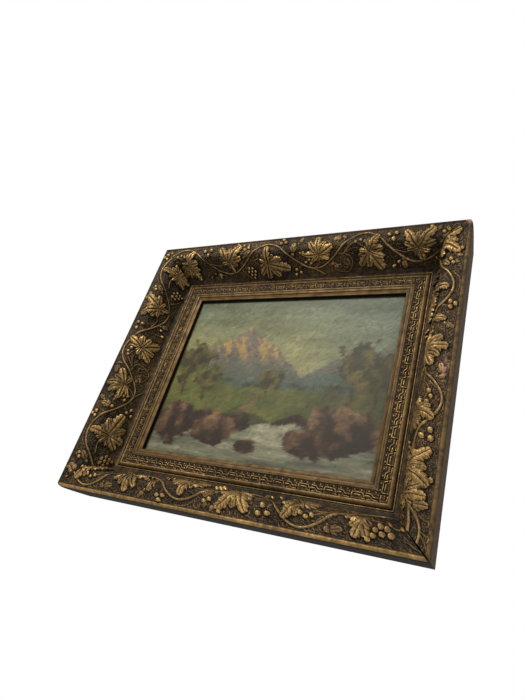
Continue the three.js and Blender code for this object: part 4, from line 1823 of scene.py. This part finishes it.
@dataclass
class Canvas:
    """The painted canvas, turned over the edges of its stretcher."""

    columns: int = 340
    rows: int = 266
    thickness: float = 0.9
    turned: float = 13.5

    def build(self) -> bpy.types.Object:
        """Paints, shapes and dresses the canvas.

        Returns:
            The piece.
        """
        low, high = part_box("canvas")
        width = (high.x - low.x) / MM
        height = (high.z - low.z) / MM
        picture = Landscape(self.columns, self.rows, width / height)
        picture.paint()
        x = np.linspace(low.x, high.x, self.columns)
        z = np.linspace(low.z, high.z, self.rows)
        front_y = low.y
        grid_x, grid_z = np.meshgrid(x, z, indexing="ij")
        front = np.stack([grid_x, np.full_like(grid_x, front_y), grid_z], -1).reshape(-1, 3)
        number = np.arange(self.columns * self.rows).reshape(self.columns, self.rows)
        faces = np.stack([number[:-1, :-1], number[1:, :-1], number[1:, 1:], number[:-1, 1:]], -1)
        faces = faces.reshape(-1, 4).tolist()
        painted = len(faces)
        rim = [*number[:, 0], *number[-1, 1:], *number[-2::-1, -1], *number[0, -2:0:-1]]
        rings = self.rings(front[rim], low, high)
        points = np.vstack([front, *rings])
        count = len(rim)
        loops = [np.array(rim)]
        for k in range(len(rings)):
            loops.append(np.arange(count) + len(front) + k * count)
        for near, far in zip(loops, loops[1:]):
            for k in range(count):
                after = (k + 1) % count
                faces.append([int(near[after]), int(near[k]), int(far[k]), int(far[after])])
        faces.append([int(k) for k in loops[-1]][::-1])
        primer = np.full((count * len(rings), 3), 0.18)
        tone = np.vstack([picture.linear().reshape(-1, 3), primer])
        body = np.r_[picture.body.ravel(), np.zeros(count * len(rings))]
        piece = mesh_piece("painted_canvas", points, faces, {"body": body}, {"paint": tone})
        piece.data.materials.append(FINISHES["paint"])
        piece.data.materials.append(FINISHES["linen"])
        index = np.ones(len(faces), np.int32)
        index[:painted] = 0
        piece.data.polygons.foreach_set("material_index", index)
        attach(piece, BODY)
        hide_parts("canvas")
        return piece

    def rings(self, rim: np.ndarray, low: Vector, high: Vector) -> list[np.ndarray]:
        """Gives the turned edge: back along the outside, round its hem, and in again to the back.

        Args:
            rim: the points round the front.
            low: the canvas's lowest corner.
            high: its highest corner.

        Returns:
            The rings of points, one after another.
        """
        middle = np.array([(low.x + high.x) / 2, 0.0, (low.z + high.z) / 2])
        half = np.array([(high.x - low.x) / 2, 1.0, (high.z - low.z) / 2])
        away = (rim - middle) / half
        corner = np.clip(away, -1, 1)
        corner[:, 1] = 0.0
        edge_out = np.where(np.abs(corner) > 0.9999, np.sign(corner), 0.0)

        def ring(back_mm: float, inside_mm: float) -> np.ndarray:
            """Gives the rim moved back and inwards."""
            moved = rim - edge_out * inside_mm * MM
            moved[:, 1] += back_mm * MM
            return moved

        thick = self.thickness
        return [
            ring(self.turned * 0.5, 0.0),
            ring(self.turned, 0.0),
            ring(self.turned, thick),
            ring(thick, thick),
        ]


@dataclass
class Stretcher:
    """The four bare bars behind the canvas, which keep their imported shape."""

    nodes: dict[str, bpy.types.Object]

    def dress(self) -> list[str]:
        """Gives each bar its wood, with the grain along it.

        Returns:
            The bars' names.
        """
        names = []
        for side in Side:
            name = f"stretcher_{side.word}"
            bar = self.nodes[name]
            bar.data.materials.clear()
            bar.data.materials.append(FINISHES["upright_bar" if side.is_upright else "level_bar"])
            names.append(name)
        return names


# ---- The studio ----


@dataclass
class Studio:
    """A pale floor, soft light, and the camera."""

    outline: Outline
    room_light: float = 0.42
    # How much of the room's light comes from straight below and straight above.
    light_below: float = 0.35
    light_above: float = 1.6
    floor_drop: float = 1.1
    azimuth: float = 33.87
    elevation: float = -27.21
    roll: float = 18.01
    lens: float = 27.30

    def place_floor(self) -> None:
        """Lays the floor well below the frame."""
        size = 2.0
        height = self.outline.bottom * MM - self.floor_drop
        corners = ((-size, -size), (size, -size), (size, size), (-size, size))
        points = np.array([(x, y, height) for x, y in corners])
        floor = mesh_piece("floor", points, [(0, 1, 2, 3)])
        floor.data.materials.append(FINISHES["floor"])

    def place_light(self) -> None:
        """Hangs a broad key light and a fill."""
        self.make_room()
        self.lamp("key", (-0.55, -1.35, 0.75), 0.45, 24.0, (1.0, 0.96, 0.90))
        self.lamp("fill", (1.1, -1.2, -0.9), 0.9, 7.0, (1.0, 0.98, 0.96))

    def make_room(self) -> None:
        """Makes the room: plain white to the eye, with a dim light on the frame that falls from above."""
        world = bpy.data.worlds.new("surroundings")
        world.use_nodes = True
        tree = world.node_tree
        seen = tree.nodes["Background"]
        seen.inputs[0].default_value = (1.0, 1.0, 1.0, 1.0)
        seen.inputs[1].default_value = 1.0
        room = tree.nodes.new("ShaderNodeBackground")
        room.inputs[0].default_value = (1.0, 0.97, 0.93, 1.0)
        view = tree.nodes.new("ShaderNodeTexCoord")
        split = tree.nodes.new("ShaderNodeSeparateXYZ")
        height = tree.nodes.new("ShaderNodeMapRange")
        height.inputs[1].default_value = -1.0
        height.inputs[2].default_value = 1.0
        height.inputs[3].default_value = self.room_light * self.light_below
        height.inputs[4].default_value = self.room_light * self.light_above
        tree.links.new(view.outputs["Generated"], split.inputs[0])
        tree.links.new(split.outputs[2], height.inputs[0])
        tree.links.new(height.outputs[0], room.inputs[1])
        path = tree.nodes.new("ShaderNodeLightPath")
        mixed = tree.nodes.new("ShaderNodeMixShader")
        tree.links.new(path.outputs["Is Camera Ray"], mixed.inputs[0])
        tree.links.new(room.outputs[0], mixed.inputs[1])
        tree.links.new(seen.outputs[0], mixed.inputs[2])
        tree.links.new(mixed.outputs[0], tree.nodes["World Output"].inputs[0])
        bpy.context.scene.world = world

    def lamp(self, name: str, place: Sequence[float], size: float, power: float, tint: Colour) -> None:
        """Hangs one square lamp that faces the picture.

        Args:
            name: its name.
            place: where it hangs, in metres.
            size: the length of its side.
            power: its power in watts.
            tint: its colour.
        """
        data = bpy.data.lights.new(name, "AREA")
        data.shape = "SQUARE"
        data.size = size
        data.energy = power
        data.color = tint
        lamp = bpy.data.objects.new(name, data)
        target = Vector((0.0, -0.04, (self.outline.top + self.outline.bottom) / 2 * MM))
        lamp.location = place
        lamp.rotation_mode = "QUATERNION"
        lamp.rotation_quaternion = (target - Vector(place)).to_track_quat("-Z", "Y")
        bpy.context.scene.collection.objects.link(lamp)

    def place_camera(self) -> None:
        """Stands the camera to the right of the picture and below it, a little rolled."""
        data = bpy.data.cameras.new("camera")
        data.lens = self.lens
        data.sensor_width = 36.0
        camera = bpy.data.objects.new("camera", data)
        middle = Vector((0.0, -self.outline.depth * MM, (self.outline.top + self.outline.bottom) / 2 * MM))
        width = 2 * self.outline.half_width * MM
        place = middle + Vector((0.70703, -1.03544, -0.62092)) * width
        turn, lift = math.radians(self.azimuth), math.radians(self.elevation)
        back = Vector((math.sin(turn) * math.cos(lift), -math.cos(turn) * math.cos(lift), math.sin(lift)))
        level = back.to_track_quat("Z", "Y").to_matrix()
        tilt = Matrix.Rotation(math.radians(self.roll), 3, "Z")
        camera.matrix_world = Matrix.Translation(place) @ (level @ tilt).to_4x4()
        bpy.context.scene.collection.objects.link(camera)
        bpy.context.scene.camera = camera
        bpy.context.scene.view_settings.view_transform = "Standard"


FINISHES: dict[str, bpy.types.Material] = {}


def make_finishes() -> None:
    """Builds every finish once."""
    grain_level = (0.06, 1.0, 1.0)
    grain_upright = (1.0, 1.0, 0.06)
    FINISHES["ornament"] = BronzedOrnament().make()
    FINISHES["slip"] = GiltSlip().make()
    FINISHES["paint"] = OilPaint().make()
    FINISHES["linen"] = RawLinen().make()
    FINISHES["floor"] = PaleFloor().make()
    dark = {"pale": (0.16, 0.095, 0.048), "dark": (0.075, 0.042, 0.021)}
    FINISHES["level_wood"] = BareWood("level_wood", grain_level, **dark).make()
    FINISHES["upright_wood"] = BareWood("upright_wood", grain_upright, **dark).make()
    FINISHES["level_bar"] = BareWood("level_bar", grain_level).make()
    FINISHES["upright_bar"] = BareWood("upright_bar", grain_upright).make()


def build_rails(outline: Outline) -> list[bpy.types.Object]:
    """Carves the four rails, each with its own start in the vine's repeat.

    Args:
        outline: the frame's outer edge.

    Returns:
        The rails.
    """
    moulding = Moulding(depth=outline.depth)
    knocked = Wear(outline.length(Side.TOP) - 3.0, -3.0, 9.0, 7.0)
    rubbed = Wear(292.0, 8.0, 24.0, 5.5)
    corner = Wear(3.0, -3.0, 9.0, 7.0)
    # The right and bottom rails carry painted highlight on their outer edge and bead; the right's outer side
    # is painted lighter, and the bottom's underside near black as painted shade.
    rails = (
        Rail(
            Side.TOP, outline, moulding, Run(2, (64.0, 179.0, 274.0, 375.0, 479.0, 573.0)), 520,
            worn_start=9.0, worn_end=12.0, wears=(knocked,),
        ),
        Rail(
            Side.RIGHT, outline, moulding, Run(0, (144.0, 246.0, 348.0, 441.0, 534.0)), 440,
            end_gap=1.1, worn_start=12.0, worn_end=7.0, round_rub_and_highlight=0.24, bead_rub_and_highlight=0.30, side_rub_and_shade=0.40,
            bare=(468.0, 600.0), corner=LOWER_CORNER_UPRIGHT, wears=(rubbed, corner),
        ),
        Rail(
            Side.BOTTOM, outline, moulding, Run(2, (178.0, 284.0, 390.0, 493.0, 596.0)), 520,
            start_gap=1.1, worn_start=7.0, worn_end=14.0, round_rub_and_highlight=0.56, bead_rub_and_highlight=0.28, side_rub_and_shade=0.0,
            bare=(-40.0, 110.0), corner=LOWER_CORNER_LEVEL,
        ),
        Rail(
            Side.LEFT, outline, moulding, Run(0, (115.0, 207.0, 295.0, 400.0, 501.0)), 440,
            worn_start=14.0, worn_end=9.0,
        ),
    )
    pieces = []
    for rail in rails:
        piece = rail.build()
        LOG.info("%s: %d faces", piece.name, len(piece.data.polygons))
        pieces.append(piece)
    return pieces


def main() -> None:
    """Builds every piece in order and logs each piece's face count."""
    logging.basicConfig(level=logging.INFO, format="%(name)s: %(message)s")
    outline = Outline.from_solids()
    make_finishes()
    studio = Studio(outline)
    studio.place_camera()
    build_rails(outline)
    for side in Side:
        piece = Slip(side, outline, dulled=SLIP_SIDE_SHADE[side]).build()
        LOG.info("%s: %d faces", piece.name, len(piece.data.polygons))
    canvas = Canvas().build()
    LOG.info("%s: %d faces", canvas.name, len(canvas.data.polygons))
    for name in Stretcher(frame["nodes"]).dress():
        LOG.info("%s: dressed", name)
    studio.place_floor()
    studio.place_light()


if __name__ == "__main__":
    main()
